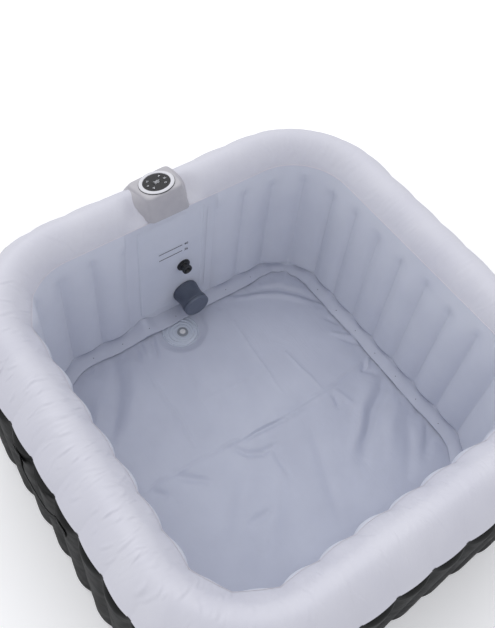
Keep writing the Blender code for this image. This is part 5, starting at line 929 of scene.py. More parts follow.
def panel_face(x, z):
    """How far back the panel's front stands, with its edge bead and a slight slackness."""
    from_edge = np.minimum(panel_half(z) - np.abs(x), z - PANEL_LOW)
    bead = np.exp(-((from_edge - PANEL_WELD) / (PANEL_WELD * 0.55)) ** 2) * PANEL_WELD_RISE
    spots = np.stack(np.broadcast_arrays(x, z), -1)
    slack = 0.0011 * (roughly(spots, 0.11, 51) + 0.4 * roughly(spots, 0.04, 52))
    slack = slack * smooth_step(from_edge, 0.004, 0.04)
    sunk = np.maximum(1 - smooth_step(from_edge, 0.0, 0.004), smooth_step(z, PANEL_HIGH - 0.05, PANEL_HIGH))
    return PANEL_FACE - bead - slack + 0.0012 * sunk


heights = PANEL_LOW + (PANEL_HIGH - PANEL_LOW) * np.concatenate(
    [np.linspace(0, 0.07, 22)[:-1], np.linspace(0.07, 1, 70)]
)
share = np.sin(np.linspace(-1, 1, 81) * math.pi / 2)
x = share[:, None] * panel_half(heights)[None, :]
z = np.broadcast_to(heights[None, :], x.shape)
panel_film = vinyl("panel_pvc_film", "#D9DCE5", "#D2D6E1", 0.40, 1.6, 0.04)
panel_sheet = skin("panel_sheet", np.stack([x, panel_face(x, z), z], -1), panel_film, around=False)
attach(panel_sheet, "tub")
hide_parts("pump_panel")

# Two welds to the web show through the film beside the panel.
WELD_HALF, WELD_RISE = 0.0035, 0.0006
for name, at in (("web_weld_near", 0.150), ("web_weld_far", 0.190)):
    up = np.linspace(PANEL_LOW + 0.02, PANEL_HIGH - 0.02, 60)
    over = np.linspace(-WELD_HALF, WELD_HALF, 7)
    ridge = WELD_RISE * np.cos(over / WELD_HALF * math.pi / 2)
    wander = 0.0008 * roughly(np.stack([up, up * 0], -1), 0.06, 53)
    x = (at + over)[None, :] + wander[:, None]
    y = np.broadcast_to(INNER_HALF - 0.0004 - ridge[None, :] - 0.0009, x.shape)
    weld = skin(
        name, np.stack([x, y, np.broadcast_to(up[:, None], x.shape)], -1), ribbed_film, around=False,
        inside_out=True
    )
    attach(weld, "tub")

# Screen ink: dull black vinyl ink, thin enough to show faint pinholes.
level_ink, tree = new_material("screen_printed_ink")
place = add_node(tree, "TexCoord").outputs["Object"]
pinholes = add_node(tree, "TexNoise", {"Vector": place, "Scale": 1 / 0.0012, "Detail": 1})
worn = add_node(tree, "MapRange", {0: pinholes, 1: 0.62, 2: 0.75})
finish(tree, worn, "#16171C", "#3A3D48", None, {"Roughness": 0.55})

for high, number in LEVEL_LINES:
    across = np.linspace(LINE_START, LINE_END, 40)
    up = high + np.array([-LINE_THICK / 2, LINE_THICK / 2])
    x, z = np.meshgrid(across, up, indexing="ij")
    line = skin(
        f"level_line_{number}", np.stack([x, panel_face(x, z) - PRINT_PROUD, z], -1), level_ink,
        around=False
    )
    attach(line, "tub")
    figures = bpy.data.curves.new(f"level_number_{number}", "FONT")
    figures.body, figures.size, figures.extrude = number, NUMBER_HIGH * 1.35, 0.00005
    figures.align_x, figures.align_y = "LEFT", "CENTER"
    printed = bpy.data.objects.new(f"level_number_{number}", figures)
    bpy.context.scene.collection.objects.link(printed)
    printed.location = (NUMBER_AT, PANEL_FACE - PRINT_PROUD - 0.0008, high)
    printed.rotation_euler = (math.pi / 2, 0, 0)
    figures.materials.append(level_ink)
    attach(printed, "tub")


# --------------------------------------------------
# Water filter. Slate-grey ABS mouldings: a waisted housing pushed onto the suction stub in the
# panel, with a quarter-turn cap on its front. A pleated paper cartridge sits inside.

FILTER_X, FILTER_Z = 0.060, 0.1266
TURNED_SIDES = 96


def soften(profile, fillet, steps):
    """The profile with every corner rounded by up to the fillet."""
    points = [np.array(point, dtype=float) for point in profile]
    smooth = [points[0]]
    for before, corner, after in zip(points[:-2], points[1:-1], points[2:]):
        way_in, way_out = before - corner, after - corner
        reach_in = min(fillet, np.linalg.norm(way_in) * 0.45)
        reach_out = min(fillet, np.linalg.norm(way_out) * 0.45)
        start = corner + way_in / max(np.linalg.norm(way_in), 1e-9) * reach_in
        end = corner + way_out / max(np.linalg.norm(way_out), 1e-9) * reach_out
        for t in np.linspace(0, 1, steps + 1):
            smooth.append(start * (1 - t) ** 2 + corner * 2 * t * (1 - t) + end * t * t)
    smooth.append(points[-1])
    return np.array(smooth)


def turned(name, profile, fillet, place, material, grips=0, grip_depth=0, steps=4):
    """A round moulding: a profile of radius and height turned about the Z axis of its place.

    The profile, its fillet and the depth of its grips are in millimetres.
    """
    angle = np.linspace(0, 2 * math.pi, TURNED_SIDES, endpoint=False)
    radius, height = soften(profile, fillet, steps).T / 1000
    notch = grip_depth / 1000 * (0.5 + 0.5 * np.cos(angle * grips)) ** 6 if grips else angle * 0
    outer = smooth_step(radius, 0.97 * radius.max() - 1e-6, radius.max())
    r = radius[None, :] - notch[:, None] * outer[None, :]
    points = np.stack(
        [r * np.cos(angle)[:, None], r * np.sin(angle)[:, None], np.broadcast_to(height, r.shape)], -1
    )
    flat = points.reshape(-1, 3) @ np.array(place.to_3x3()).T + np.array(place.translation)
    made = skin(name, flat.reshape(points.shape), material)
    made.data.set_sharp_from_angle(angle=math.radians(50))
    return made


def facing(place, way):
    """A frame at a place with its Z axis along a direction."""
    return Matrix.Translation(place) @ Vector(way).to_track_quat("Z", "Y").to_matrix().to_4x4()


def moulded(name, colour, shade, roughness, spark_mm=0.9, spark_depth_mm=0.03):
    """Injection-moulded plastic from a spark-eroded mould: an even, fine satin grain.

    The tone drifts a little where the melt met, and edges are rubbed slightly smoother.
    """
    made, tree = new_material(name)
    place = add_node(tree, "TexCoord").outputs["Object"]
    flow = add_node(tree, "TexNoise", {"Vector": place, "Scale": 1 / 0.030, "Detail": 3})
    drift = add_node(tree, "MapRange", {0: flow, 1: 0.32, 2: 0.68})
    tone = add_node(tree, "Mix", {"data_type": "RGBA", 0: drift, 6: colour, 7: shade})
    # The eroded pits are 0.05 mm across, so they are drawn coarser to show at all.
    pits = add_node(tree, "TexNoise", {
        "Vector": place, "Scale": 1000 / spark_mm, "Detail": 2, "Roughness": 0.6
    })
    relief = add_node(tree, "Bump", {"Strength": 0.5, "Distance": spark_depth_mm / 1000, "Height": pits})
    rubbed = add_node(tree, "NewGeometry")
    gloss = add_node(tree, "MapRange", {
        0: rubbed.outputs["Pointiness"], 1: 0.50, 2: 0.60, 3: roughness, 4: roughness - 0.10
    })
    shader = add_node(tree, "BsdfPrincipled", {
        "Base Color": tone.outputs[2], "Roughness": gloss, "Normal": relief, "IOR": 1.53
    })
    add_node(tree, "OutputMaterial", {0: shader})
    return made


def dress(names, material):
    """Gives CAD parts whose shape is already right their real finish."""
    for name in names:
        for part_slot in cad_nodes[name].material_slots:
            part_slot.material = material


wall_face = Vector((FILTER_X, INNER_HALF, FILTER_Z))
filter_place = facing(wall_face, (0, -1, 0))
slate_abs = moulded("slate_moulded_abs", "#4C5362", "#474E5D", 0.46)
pale_slate_abs = moulded("pale_slate_moulded_abs", "#5F6675", "#596070", 0.42)
# The waist: a slow hollow between the foot and the collar, to be held by hand.
waist = [(50.8 - 3.8 * math.sin(t ** 1.3 * math.pi) ** 0.9, 12 + 60 * t) for t in np.linspace(0, 1, 15)]
filter_body = turned(
    "filter_body", [(17, 3.4), (51, 3), (51.6, 10)] + waist + [(50, 80), (47, 80.8), (46.2, 79)], 1.2,
    filter_place, slate_abs
)
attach(filter_body, "filter")
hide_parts("filter_housing")
filter_lid = turned(
    "filter_lid",
    [
        (46, 76), (46.6, 81.8), (50, 82.2), (51.2, 82.8), (51, 89.5), (47.5, 92.6), (40, 93), (38.5, 92.2),
        (10, 92.4), (0.01, 92.4)
    ], 2.2, filter_place, pale_slate_abs, grips=12, grip_depth=1, steps=5
)
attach(filter_lid, "filter_cap")
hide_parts("filter_cap")
filter_flange = turned(
    "filter_flange", [(12, 25), (15.8, 25.6), (16, 6.2), (27, 5.8), (28, 2), (28, 0.4)], 1, filter_place,
    slate_abs
)
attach(filter_flange, "tub")
dress(["filter_fitting"], slate_abs)

# Cartridge: folded polyester paper, off-white, matt and slightly furry.
pleated_paper, tree = new_material("pleated_filter_paper")
place = add_node(tree, "TexCoord").outputs["Object"]
fibres = add_node(tree, "TexNoise", {"Vector": place, "Scale": 1 / 0.0018, "Detail": 5, "Roughness": 0.7})
finish(tree, fibres, "#DEDCD2", "#F1F0EA", (0.5, 0.0002), {"Roughness": 0.92})
dress(["filter_cartridge"], pleated_paper)


# --------------------------------------------------
# Water outlet. Black ABS: a flange and locking ring on the panel, and a ball nozzle held in the
# ring so that it can be aimed.

OUTLET_X, OUTLET_Z = 0.052, 0.2876
outlet_place = facing(Vector((OUTLET_X, INNER_HALF, OUTLET_Z)), (0, -1, 0))
black_abs = moulded("black_moulded_abs", "#202225", "#1B1D20", 0.42)
outlet_flange = turned(
    "outlet_flange", [(13.4, 4.8), (21.5, 5.6), (24.8, 5.6), (26.3, 4), (26.3, 0.4)], 1.4, outlet_place,
    black_abs
)
outlet_collar = turned(
    "outlet_collar", [(13.1, 6.8), (13, 9.4), (12.3, 11.8), (18, 12.4), (21.2, 11.2), (21.6, 6.4), (20, 6)],
    1.2, outlet_place, black_abs, grips=10, grip_depth=0.8
)
outlet_jet = turned(
    "outlet_jet",
    [
        (12.3, 4.8), (12.5, 7), (11.8, 11.3), (10.2, 14.2), (8.7, 16), (8.6, 18.2), (12, 20.6),
        (17.8, 21.4), (19, 23.8), (19, 31), (17.8, 33), (13.5, 33), (12.2, 31.8), (6.2, 18), (6, 8)
    ], 1.2, outlet_place, black_abs
)
for piece, body, node in (
    (outlet_flange, "tub", "outlet_fitting"),
    (outlet_collar, "outlet_ring", "outlet_ring"),
    (outlet_jet, "outlet_nozzle", "outlet_nozzle")
):
    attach(piece, body)
    if node != "outlet_fitting":
        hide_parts(node)
dress(["outlet_fitting", "outlet_locknut", "filter_locknut"], black_abs)


# --------------------------------------------------
# Drain. A clear round patch of film is welded over the hole in the liner, and carries a grey ring
# with a white push-in plug. The plug lifts out by its tab.

drain_place = Matrix.Translation((DRAIN_X, DRAIN_Y, 0))
white_abs = moulded("white_moulded_abs", "#E4E4E6", "#DCDCDF", 0.30, spark_depth_mm=0.008)
pale_grey_abs = moulded("pale_grey_moulded_abs", "#B9BAC0", "#B2B3BA", 0.40)
ring_abs = moulded("mid_grey_moulded_abs", "#8B9097", "#858A91", 0.42)
drain_collar = turned(
    "drain_collar", [(10.4, 15), (10.6, 20.5), (12, 21.9), (18.5, 21.9), (20.6, 20.6), (21.2, 18)], 1,
    drain_place, ring_abs
)
plug_head = turned(
    "plug_head",
    [(8.5, 12), (8.8, 21.8), (9.6, 22.2), (10.2, 23.1), (10, 24.5), (8.8, 25), (6, 24.4), (0.01, 24.3)],
    0.8, drain_place, white_abs
)
for piece, body, node, slot in (
    (drain_collar, "tub", "drain_ring", "light_abs"),
    (plug_head, "drain_plug", "drain_plug", "white_abs")
):
    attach(piece, body)
    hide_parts(node)
# The plug's finger tab, a thin upright fin with a rounded top.
TAB_HALF, TAB_THICK, TAB_LOW, TAB_HIGH = 0.006, 0.0012, 0.0242, 0.0289
share = np.linspace(-1, 1, 17)
top = TAB_LOW + (TAB_HIGH - TAB_LOW) * np.sqrt(np.maximum(1 - np.abs(share) ** 3, 0.0))
rim = np.stack([TAB_HALF * share, top], -1)
x = np.stack([rim[:, 0]] * 4, -1)
z = np.stack([np.full(17, TAB_LOW), rim[:, 1], rim[:, 1], np.full(17, TAB_LOW)], -1)
y = np.broadcast_to(np.array([-1, -0.8, 0.8, 1]) * TAB_THICK / 2, x.shape)
tab = skin("plug_tab", np.stack([x + DRAIN_X, y + DRAIN_Y, z], -1), white_abs, around=False)
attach(tab, "drain_plug")


# --------------------------------------------------
# Pump bay. A grey ABS tub welded into the back of the wall holds the pump, heater, blower and
# power board. A black vented cover is screwed over it, with the power inlet at its foot.

BAY_NAMES = ["pump_case", "blower_housing", "blower_rotor", "drain_sump"]
BAY_BLACK_NAMES = ["pump_cover", "pump_motor", "pump_volute", "blower_motor", "air_inlet"]
BRUSH_MM, HOSE_RIB_MM, TRACK_MM = 0.8, 4.0, 1.6
COVER_EDGE = 0.0009

dress(BAY_NAMES, pale_grey_abs)
dress(BAY_BLACK_NAMES, black_abs)

# Stainless steel, brushed round: fine streaks that stretch the highlights.
brushed_steel, tree = new_material("brushed_stainless_steel")
place = add_node(tree, "TexCoord").outputs["Object"]
stretched = add_node(tree, "Mapping", {"Vector": place, "Scale": (1, 1, 0.06)})
streaks = add_node(tree, "TexNoise", {"Vector": stretched, "Scale": 1000 / BRUSH_MM, "Detail": 3})
gloss = add_node(tree, "MapRange", {0: streaks, 3: 0.22, 4: 0.42})
finish(tree, streaks, "#B9B9B8", "#CFCFCE", (0.3, 0.00005), {"Metallic": 1.0, "Roughness": gloss})
dress(
    ["cover_screw_1", "cover_screw_2", "cover_screw_3", "cover_screw_4", "pump_rotor", "heater"],
    brushed_steel
)

# Hose: soft grey PVC with a rigid spiral inside, which shows as close pale rings.
spiral_hose, tree = new_material("spiral_pvc_hose")
place = add_node(tree, "TexCoord").outputs["Object"]
spiral = add_node(tree, "TexWave", {
    "bands_direction": "DIAGONAL", "Vector": place, "Scale": 1000 / HOSE_RIB_MM / 20 * 2 * math.pi,
    "Distortion": 0.2
})
finish(tree, spiral.outputs["Fac"], "#B3B5B9", "#CBCDD1", (0.6, 0.0006), {"Roughness": 0.38, "IOR": 1.53})
dress(["suction_pipe", "outlet_pipe", "air_hose", "drain_pipe", "harness_conduit"], spiral_hose)

# Circuit board: glass-fibre board under green lacquer, with brighter copper tracks below it.
lacquered_board, tree = new_material("green_lacquered_circuit_board")
place = add_node(tree, "TexCoord").outputs["Object"]
tracks = add_node(tree, "TexVoronoi", {
    "distance": "MANHATTAN", "feature": "F1", "Vector": place, "Scale": 1000 / TRACK_MM / 4
})
edges = add_node(tree, "MapRange", {0: tracks.outputs["Distance"], 1: 0.50, 2: 0.56})
finish(tree, edges, "#14502F", "#3B8455", (0.4, 0.0001), {"Roughness": 0.3, "IOR": 1.5})
dress(["power_board", "control_board"], lacquered_board)

# Rubber: moulded EPDM, dull black with a faint dusty bloom.
moulded_rubber, tree = new_material("moulded_epdm_rubber")
place = add_node(tree, "TexCoord").outputs["Object"]
bloom = add_node(tree, "TexNoise", {"Vector": place, "Scale": 1 / 0.006, "Detail": 4})
finish(tree, bloom, "#161616", "#262626", (0.4, 0.0001), {"Roughness": 0.72, "IOR": 1.5})
dress(["control_cable", "power_inlet"], moulded_rubber)

# A raised rib stiffens the cover all round, and a smaller one frames its vents. For each: the
# middle, half the width and height, the corner, and the rib's half width and height.
COVER_FACE = 0.7688
RIB_FRAMES = (
    ("cover_rib", 0.0, 0.2848, 0.1330, 0.2428, 0.0140, 0.0030, 0.0016),
    ("vent_rib", 0.0, 0.4380, 0.0640, 0.0480, 0.0080, 0.0022, 0.0012)
)
for name, x_mid, z_mid, half_wide, half_high, corner, half_rib, rise in RIB_FRAMES:
    quarter = np.linspace(0, math.pi / 2, 9)
    corners = []
    for turn, (way_x, way_z) in enumerate(((1, 1), (-1, 1), (-1, -1), (1, -1))):
        angle = quarter + turn * math.pi / 2
        corners.append(
            np.stack(
                [
                    x_mid + way_x * (half_wide - corner) + corner * np.cos(angle),
                    z_mid + way_z * (half_high - corner) + corner * np.sin(angle)
                ], -1
            )
        )
    path = np.concatenate(corners)
    ways = np.roll(path, -1, axis=0) - np.roll(path, 1, axis=0)
    ways /= np.linalg.norm(ways, axis=1)[:, None]
    beside = np.stack([ways[:, 1], -ways[:, 0]], -1)
    over = np.linspace(-1, 1, 9)
    lift = rise * (1 - np.abs(over) ** 2.4)
    spot = path[:, None, :] + beside[:, None, :] * (over * half_rib)[None, :, None]
    y = np.broadcast_to(COVER_FACE - 0.0001 + lift, spot.shape[:2])
    rib = skin(name, np.stack([spot[..., 0], y, spot[..., 1]], -1), black_abs, inside_out=True)
    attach(rib, "tub")

# Moulded edges are never sharp, so the parts that can be seen from outside get a fine radius.
for name in ("pump_cover", "power_inlet", "cover_screw_1", "cover_screw_2", "cover_screw_3", "cover_screw_4"):
    radius = cad_nodes[name].modifiers.new("moulded_radius", "BEVEL")
    radius.width, radius.segments = (COVER_EDGE if name == "pump_cover" else COVER_EDGE / 3), 2
    radius.limit_method, radius.angle_limit = "ANGLE", math.radians(40)


# --------------------------------------------------
# Control housing. One moulding in satin grey ABS that saddles the roll over the pump bay. Its
# sides flare down onto the roll, and every corner is generously rounded.

# The roll gives a little, so that the housing sits tipped back and towards the left.
CONTROL_X, DISC_Y, DISC_Z = -0.012, 0.65488, 0.6834
DISC_TILT, DISC_LEAN = math.radians(-12), math.radians(-4)
SEAT_RADIUS = 0.0505
# Its edges as places out from the wall's face and up from the seam, and its half widths there.
TOP_FRONT, TOP_BACK, FOOT_FRONT, FOOT_BACK = 0.0065, 0.1330, -0.0165, 0.1490
FOOT_UP, FOOT_SHIFT = 0.0100, 0.003
FOOT_FLARE, FLARE_AT, FLARE_REACH = 0.18, 0.085, 0.10
TOP_HALF_FRONT, TOP_HALF_BACK, FOOT_HALF_FRONT, FOOT_HALF_BACK = 0.0655, 0.0820, 0.0725, 0.0960
CORNER_ROUND, FOOT_ROUND, EDGE_ROUND = 0.024, 0.015, 0.011
SINK_IN_ROLL = 0.025


def rounded_outline(front, back, front_half, back_half, radius, arc_steps=12, edge_steps=14):
    """A trapezoid seen from above with its corners rounded: places as across and out."""
    corners = np.array([(front_half, front), (back_half, back), (-back_half, back), (-front_half, front)])
    points = []
    for number in range(4):
        before, corner, after = corners[number - 1], corners[number], corners[(number + 1) % 4]
        way_in = (before - corner) / np.linalg.norm(before - corner)
        way_out = (after - corner) / np.linalg.norm(after - corner)
        for t in np.linspace(0, 1, arc_steps + 1):
            points.append(corner + way_in * radius * (1 - t) ** 2 + way_out * radius * t * t)
        start, end = corner + way_out * radius, after - way_out * radius
        for t in np.arange(1, edge_steps) / edge_steps:
            points.append(start + (end - start) * t)
    return np.array(points)


def top_up(plan):
    """Height of the housing's sloping top over the seam, at places across and out."""
    fall = (plan[:, 1] - (DISC_Y - INNER_HALF)) * math.tan(DISC_TILT)
    return DISC_Z - SEAM + fall - plan[:, 0] * math.tan(DISC_LEAN)


def roll_up(out):
    """Height of the roll's surface over the seam."""
    shape = roll_section(ROLL_STEPS)
    return np.interp(out, shape[:, 0], shape[:, 1], left=-0.02)


top = rounded_outline(TOP_FRONT, TOP_BACK, TOP_HALF_FRONT, TOP_HALF_BACK, CORNER_ROUND)
foot = rounded_outline(FOOT_FRONT, FOOT_BACK, FOOT_HALF_FRONT, FOOT_HALF_BACK, FOOT_ROUND)
flare = np.maximum(0, 1 - ((foot[:, 1] - FLARE_AT) / FLARE_REACH) ** 2)
foot[:, 0] = foot[:, 0] * (1 + FOOT_FLARE * flare) + FOOT_SHIFT
disc_middle = np.array([0.0, DISC_Y - INNER_HALF])
middle = np.array([0.0, (TOP_FRONT + TOP_BACK) / 2])
spread = top - disc_middle
spread /= np.linalg.norm(spread, axis=1)[:, None]
rings = []


def add_ring(plan, up):
    rings.append(np.stack([CONTROL_X + plan[:, 0], INNER_HALF + plan[:, 1], SEAM + up], -1))


for radius, sink in ((0.0478, 0.0060), (0.0480, 0.0012), (0.0488, 0.0002), (SEAT_RADIUS, 0.0)):
    plan = disc_middle + spread * radius
    add_ring(plan, top_up(plan) - sink)
inset = middle + (top - middle) * (1 - EDGE_ROUND / 0.072)
for share in (0.35, 0.7, 1.0):
    plan = (disc_middle + spread * SEAT_RADIUS) * (1 - share) + inset * share
    add_ring(plan, top_up(plan) - 0.0004 * share)
side_way = foot - top
for turn in np.linspace(0, 1, 9)[1:]:
    angle = turn * math.radians(82)
    plan = inset + (top - inset) * math.sin(angle)
    add_ring(plan, top_up(plan) - 0.0004 - EDGE_ROUND * (1 - math.cos(angle)))
start = rings[-1][:, 2] - SEAM
for share in np.linspace(0, 1, 15)[1:]:
    plan = top + side_way * share ** 0.92
    low = np.where(plan[:, 1] < 0.004, FOOT_UP, np.maximum(FOOT_UP, roll_up(plan[:, 1]) - SINK_IN_ROLL))
    low = np.minimum(low, start - 0.002)
    add_ring(plan, start + (low - start) * share)
foot_plan, foot_low = plan, low
for share, lift in ((0.02, -0.0012), (0.06, -0.0014), (0.22, 0.0)):
    add_ring(foot_plan + (middle - foot_plan) * share, foot_low + lift)
grid = np.stack(rings, 1)
grey_abs = moulded("satin_grey_moulded_abs", "#B7B5B9", "#B1AFB4", 0.38, spark_mm=0.8, spark_depth_mm=0.04)
panel_saddle = skin("panel_saddle", grid, grey_abs, inside_out=True)
panel_saddle.data.set_sharp_from_angle(angle=math.radians(60))
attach(panel_saddle, "tub")
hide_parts("control_housing")

# Bezel: a glossy white ring. The thin black ring under its edge is painted shade, standing in for the shadow
# in the gap where the bezel meets the housing.
disc_place = (
    Matrix.Translation(
        (CONTROL_X, DISC_Y, DISC_Z)
    ) @ Matrix.Rotation(DISC_LEAN, 4, "Y") @ Matrix.Rotation(DISC_TILT, 4, "X")
)
gloss_white_abs = moulded("gloss_white_moulded_abs", "#D9D9DD", "#D4D4D9", 0.22, spark_depth_mm=0.004)
white_bezel = turned(
    "white_bezel",
    [
        (46.2, -2), (46.3, 2.8), (47.5, 4.2), (52, 4.8), (57, 4), (59.6, 2.6), (59.4, 1.8), (57.5, 1.6),
        (57.4, -0.6)
    ], 1.4, disc_place, gloss_white_abs
)
# Painted shade: a black ring in the gap under the bezel, standing in for the shadow there.
painted_shadow_gap_ring = turned(
    "painted_shadow_gap_ring", [(56, -0.4), (60.4, -0.4), (61, 0.6), (60, 1.2), (57.6, 1.2)], 0.4, disc_place, black_abs
)
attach(painted_shadow_gap_ring, "tub")
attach(white_bezel, "tub")
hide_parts("bezel_ring")

# Face: smoked polycarbonate with a fine anti-glare etch, near black with weak reflections.
smoked_face, tree = new_material("smoked_polycarbonate_face")
place = add_node(tree, "TexCoord").outputs["Object"]
smears = add_node(tree, "TexNoise", {"Vector": place, "Scale": 1 / 0.012, "Detail": 4})
gloss = add_node(tree, "MapRange", {0: smears, 1: 0.35, 2: 0.70, 3: 0.22, 4: 0.34})
finish(tree, smears, "#15161A", "#1C1D22", None, {"Roughness": gloss, "IOR": 1.58, "Specular IOR Level": 0.2})
FACE_TOP = 0.0030
smoked_disc = turned(
    "smoked_disc",
    [(45.9, -1), (46, 2.6), (45.2, FACE_TOP * 1000), (20, FACE_TOP * 1000), (0.01, FACE_TOP * 1000)], 0.6,
    disc_place, smoked_face
)
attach(smoked_disc, "tub")
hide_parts("panel_face")

# Keys: round touch pads moulded with the face. Each has a plain pale sign printed on it.
KEY_CIRCLE, KEY_TOP = 0.031, 0.0036
KEY_ANGLES = (0, 45, 135, 180, 225, 315)
SIGN_WIDE, SIGN_SCALE = 0.0012, 1.45


def round_line(x, y, radius, first=0, last=360):
    """Points along an arc, by its middle, its radius and its first and last angle."""
    angles = np.radians(np.linspace(first, last, 17))
    return [(x + radius * math.cos(angle), y + radius * math.sin(angle)) for angle in angles]


# Signs as strokes in millimetres: heat, up, bubbles, down, filter and power.
wave_line = [(0.7 * math.sin(t * 1.25), t - 2.5) for t in np.linspace(0, 5, 11)]
KEY_SIGNS = (
    [[(x + shift, y) for x, y in wave_line] for shift in (-2.2, 0, 2.2)],
    [[(-2.4, -1.2), (0, 1.8), (2.4, -1.2), (-2.4, -1.2)]],
    [round_line(-1.6, -1.2, 1.2), round_line(1.5, -1.4, 0.9), round_line(0.2, 1.5, 1.4)],
    [[(-2.4, 1.2), (0, -1.8), (2.4, 1.2), (-2.4, 1.2)]],
    [[(-2.5, 2.0), (2.5, 2.0), (0.7, -0.4), (0.7, -2.6), (-0.7, -1.9), (-0.7, -0.4), (-2.5, 2.0)]],
    [round_line(0, -0.2, 2.3, 125, 415), [(0, 0.2), (0, 2.8)]]
)
sign_ink, tree = new_material("pale_sign_ink")
place = add_node(tree, "TexCoord").outputs["Object"]
dots = add_node(tree, "TexNoise", {"Vector": place, "Scale": 1 / 0.0009})
finish(tree, dots, "#DADCE2", "#EEF0F4", None, {"Roughness": 0.5})


def printed_strokes(name, lines, wide, place, height):
    """Flat printed strokes a hair above a face, from lines given in millimetres."""
    points, faces = [], []
    for line in lines:
        line = np.array(line) / 1000
        for start, end in zip(line[:-1], line[1:]):
            way = (end - start) / max(np.linalg.norm(end - start), 1e-9) * wide / 2
            beside = np.array([-way[1], way[0]])
            low, high = start - way * 0.5, end + way * 0.5
            corners = (low + beside, low - beside, high - beside, high + beside)
            faces.append(tuple(range(len(points), len(points) + 4)))
            points += [place @ Vector((*corner, height)) for corner in corners]
    return build(name, points, faces, sign_ink, smooth=False)


for number, (angle, sign) in enumerate(zip(KEY_ANGLES, KEY_SIGNS), 1):
    angle = math.radians(angle)
    key_place = disc_place @ Matrix.Translation(
        (KEY_CIRCLE * math.cos(angle), KEY_CIRCLE * math.sin(angle), 0)
    )
    pad = turned(
        f"key_pad_{number}",
        [
            (6.4, 1.2), (6.7, 3.2), (6.2, KEY_TOP * 1000), (3, (KEY_TOP - 0.0001) * 1000),
            (0.01, (KEY_TOP - 0.0001) * 1000)
        ], 0.4, key_place, smoked_face
    )
    sign = [[(x * SIGN_SCALE, y * SIGN_SCALE) for x, y in line] for line in sign]
    mark = printed_strokes(f"key_sign_{number}", sign, SIGN_WIDE, key_place, KEY_TOP + 0.00005)
    for piece in (pad, mark):
        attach(piece, f"key_{number}")
    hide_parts(f"key_{number}")

# Display: two seven-bar figures and a degree ring behind the window, lit pale blue.
DIGIT_HIGH, DIGIT_WIDE, BAR_WIDE = 12.4, 6.2, 1.3
BARS = {"3": "abgcd", "8": "abcdefg"}
h, w = DIGIT_HIGH / 2, DIGIT_WIDE / 2
BAR_ENDS = {
    "a": [(-w, h), (w, h)], "b": [(w, h), (w, 0)], "c": [(w, 0), (w, -h)], "d": [(-w, -h), (w, -h)],
    "e": [(-w, -h), (-w, 0)], "f": [(-w, 0), (-w, h)], "g": [(-w, 0), (w, 0)]
}
BAR_SHORT = 0.12
lines = [round_line(11.6, 4.6, 1.3)]
for digit, shift in (("3", -5.6), ("8", 4.2)):
    for bar in BARS[digit]:
        (x0, y0), (x1, y1) = BAR_ENDS[bar]
        shares = (BAR_SHORT, 0.5, 1 - BAR_SHORT)
        lines.append([(x0 + (x1 - x0) * t + shift, y0 + (y1 - y0) * t) for t in shares])
window = rounded_outline(-0.0072, 0.0072, 0.0158, 0.0158, 0.0022, 4, 3)
rings = [
    [disc_place @ Vector((*(place * share), FACE_TOP + lift)) for place in window] for share,
    lift in ((1.0, -0.0002), (0.99, 0.0001), (0.5, 0.0001), (0.001, 0.0001))
]
display_glass = skin("display_glass", np.array(rings).transpose(1, 0, 2), smoked_face)
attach(display_glass, "tub")
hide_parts("display_window")
figures = printed_strokes("display_figures", lines, BAR_WIDE / 1000, disc_place, FACE_TOP + 0.0003)
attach(figures, "tub")


# --------------------------------------------------
# Outside fittings. A black ABS inflation valve on a rib of the right side, and the drain outlet
# at the foot of the back. Both are closed by a quarter-turn cap with a finger bar.

AIR_VALVE_PLACE = Vector((0.785, 0.248138, 0.430))
DRAIN_OUTLET_PLACE = Vector((-0.163, 0.765, 0.050))


def finger_bar(name, place, half_long, low, high, material):
    """A rounded bar across a cap, to turn it by."""
    rings = []
    for share, height in (
        (1.0, low), (1.0, high - 0.0012), (0.94, high - 0.0004), (0.80, high), (0.001, high)
    ):
        plan = rounded_outline(-0.0022, 0.0022, half_long, half_long, 0.0018, 5, 4) * share
        rings.append([place @ Vector((x, y, height)) for x, y in plan])
    made = skin(name, np.array(rings).transpose(1, 0, 2), material)
    made.data.set_sharp_from_angle(angle=math.radians(60))
    return made


valve_way = facing(AIR_VALVE_PLACE, (1, 0, 0))
outlet_way = facing(DRAIN_OUTLET_PLACE, (0, 1, 0))
for name, place, body, node, profile, grips in (
    (
        "air_valve_seat", valve_way, "tub", "valve_body",
        [(8.8, 1), (9, 3.3), (16, 3.5), (19, 3.2), (20, 1.8), (20.1, -2)], 0
    ),
    (
        "air_valve_lid", valve_way, "valve_cap", "valve_cap",
        [(15.5, 3.4), (16.5, 4), (16.4, 8.5), (15, 9.6), (6, 9.4), (0.01, 9.4)], 20
    ),
    (
        "drain_spout", outlet_way, "tub", "drain_outlet",
        [(8.2, 4), (8.4, 11.2), (9, 11.3), (9, 3.6), (13.8, 3.4), (14.9, 2.4), (15, 0.2)], 0
    ),
    (
        "drain_lid", outlet_way, "drain_cap", "drain_cap",
        [(12, 3.6), (13, 4.2), (12.9, 13.8), (11.6, 15), (5, 14.9), (0.01, 14.9)], 18
    )
):
    piece = turned(name, profile, 1, place, black_abs, grips=grips, grip_depth=0.5)
    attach(piece, body)
    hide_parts(node)
for name, place, body, half_long, low, high in (
    ("air_valve_bar", valve_way, "valve_cap", 0.0130, 0.0090, 0.0124),
    ("drain_bar", outlet_way, "drain_cap", 0.0100, 0.0146, 0.0179)
):
    bar = finger_bar(name, place, half_long, low, high, black_abs)
    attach(bar, body)


# --------------------------------------------------
# Carrying handles. Black polypropylene webbing, doubled at its ends into tarpaulin patches that
# are welded to two ribs, and standing a finger's width off the rib between.

HANDLE_WALL, HANDLE_AT = 0.7853, 0.515
STRAP_HALF, PATCH_HALF_HIGH, STRAP_THICK, STAND_OUT = 0.019, 0.030, 0.0024, 0.0106
PATCH_INNER, PATCH_OUTER = 0.1001, 0.1481
RUN_SHARES, RISE_SHARES = (0.0, 0.12, 0.30, 0.62, 1.0), (0.0, 0.35, 0.80, 0.97, 1.0)
CORD_MM = 2.4

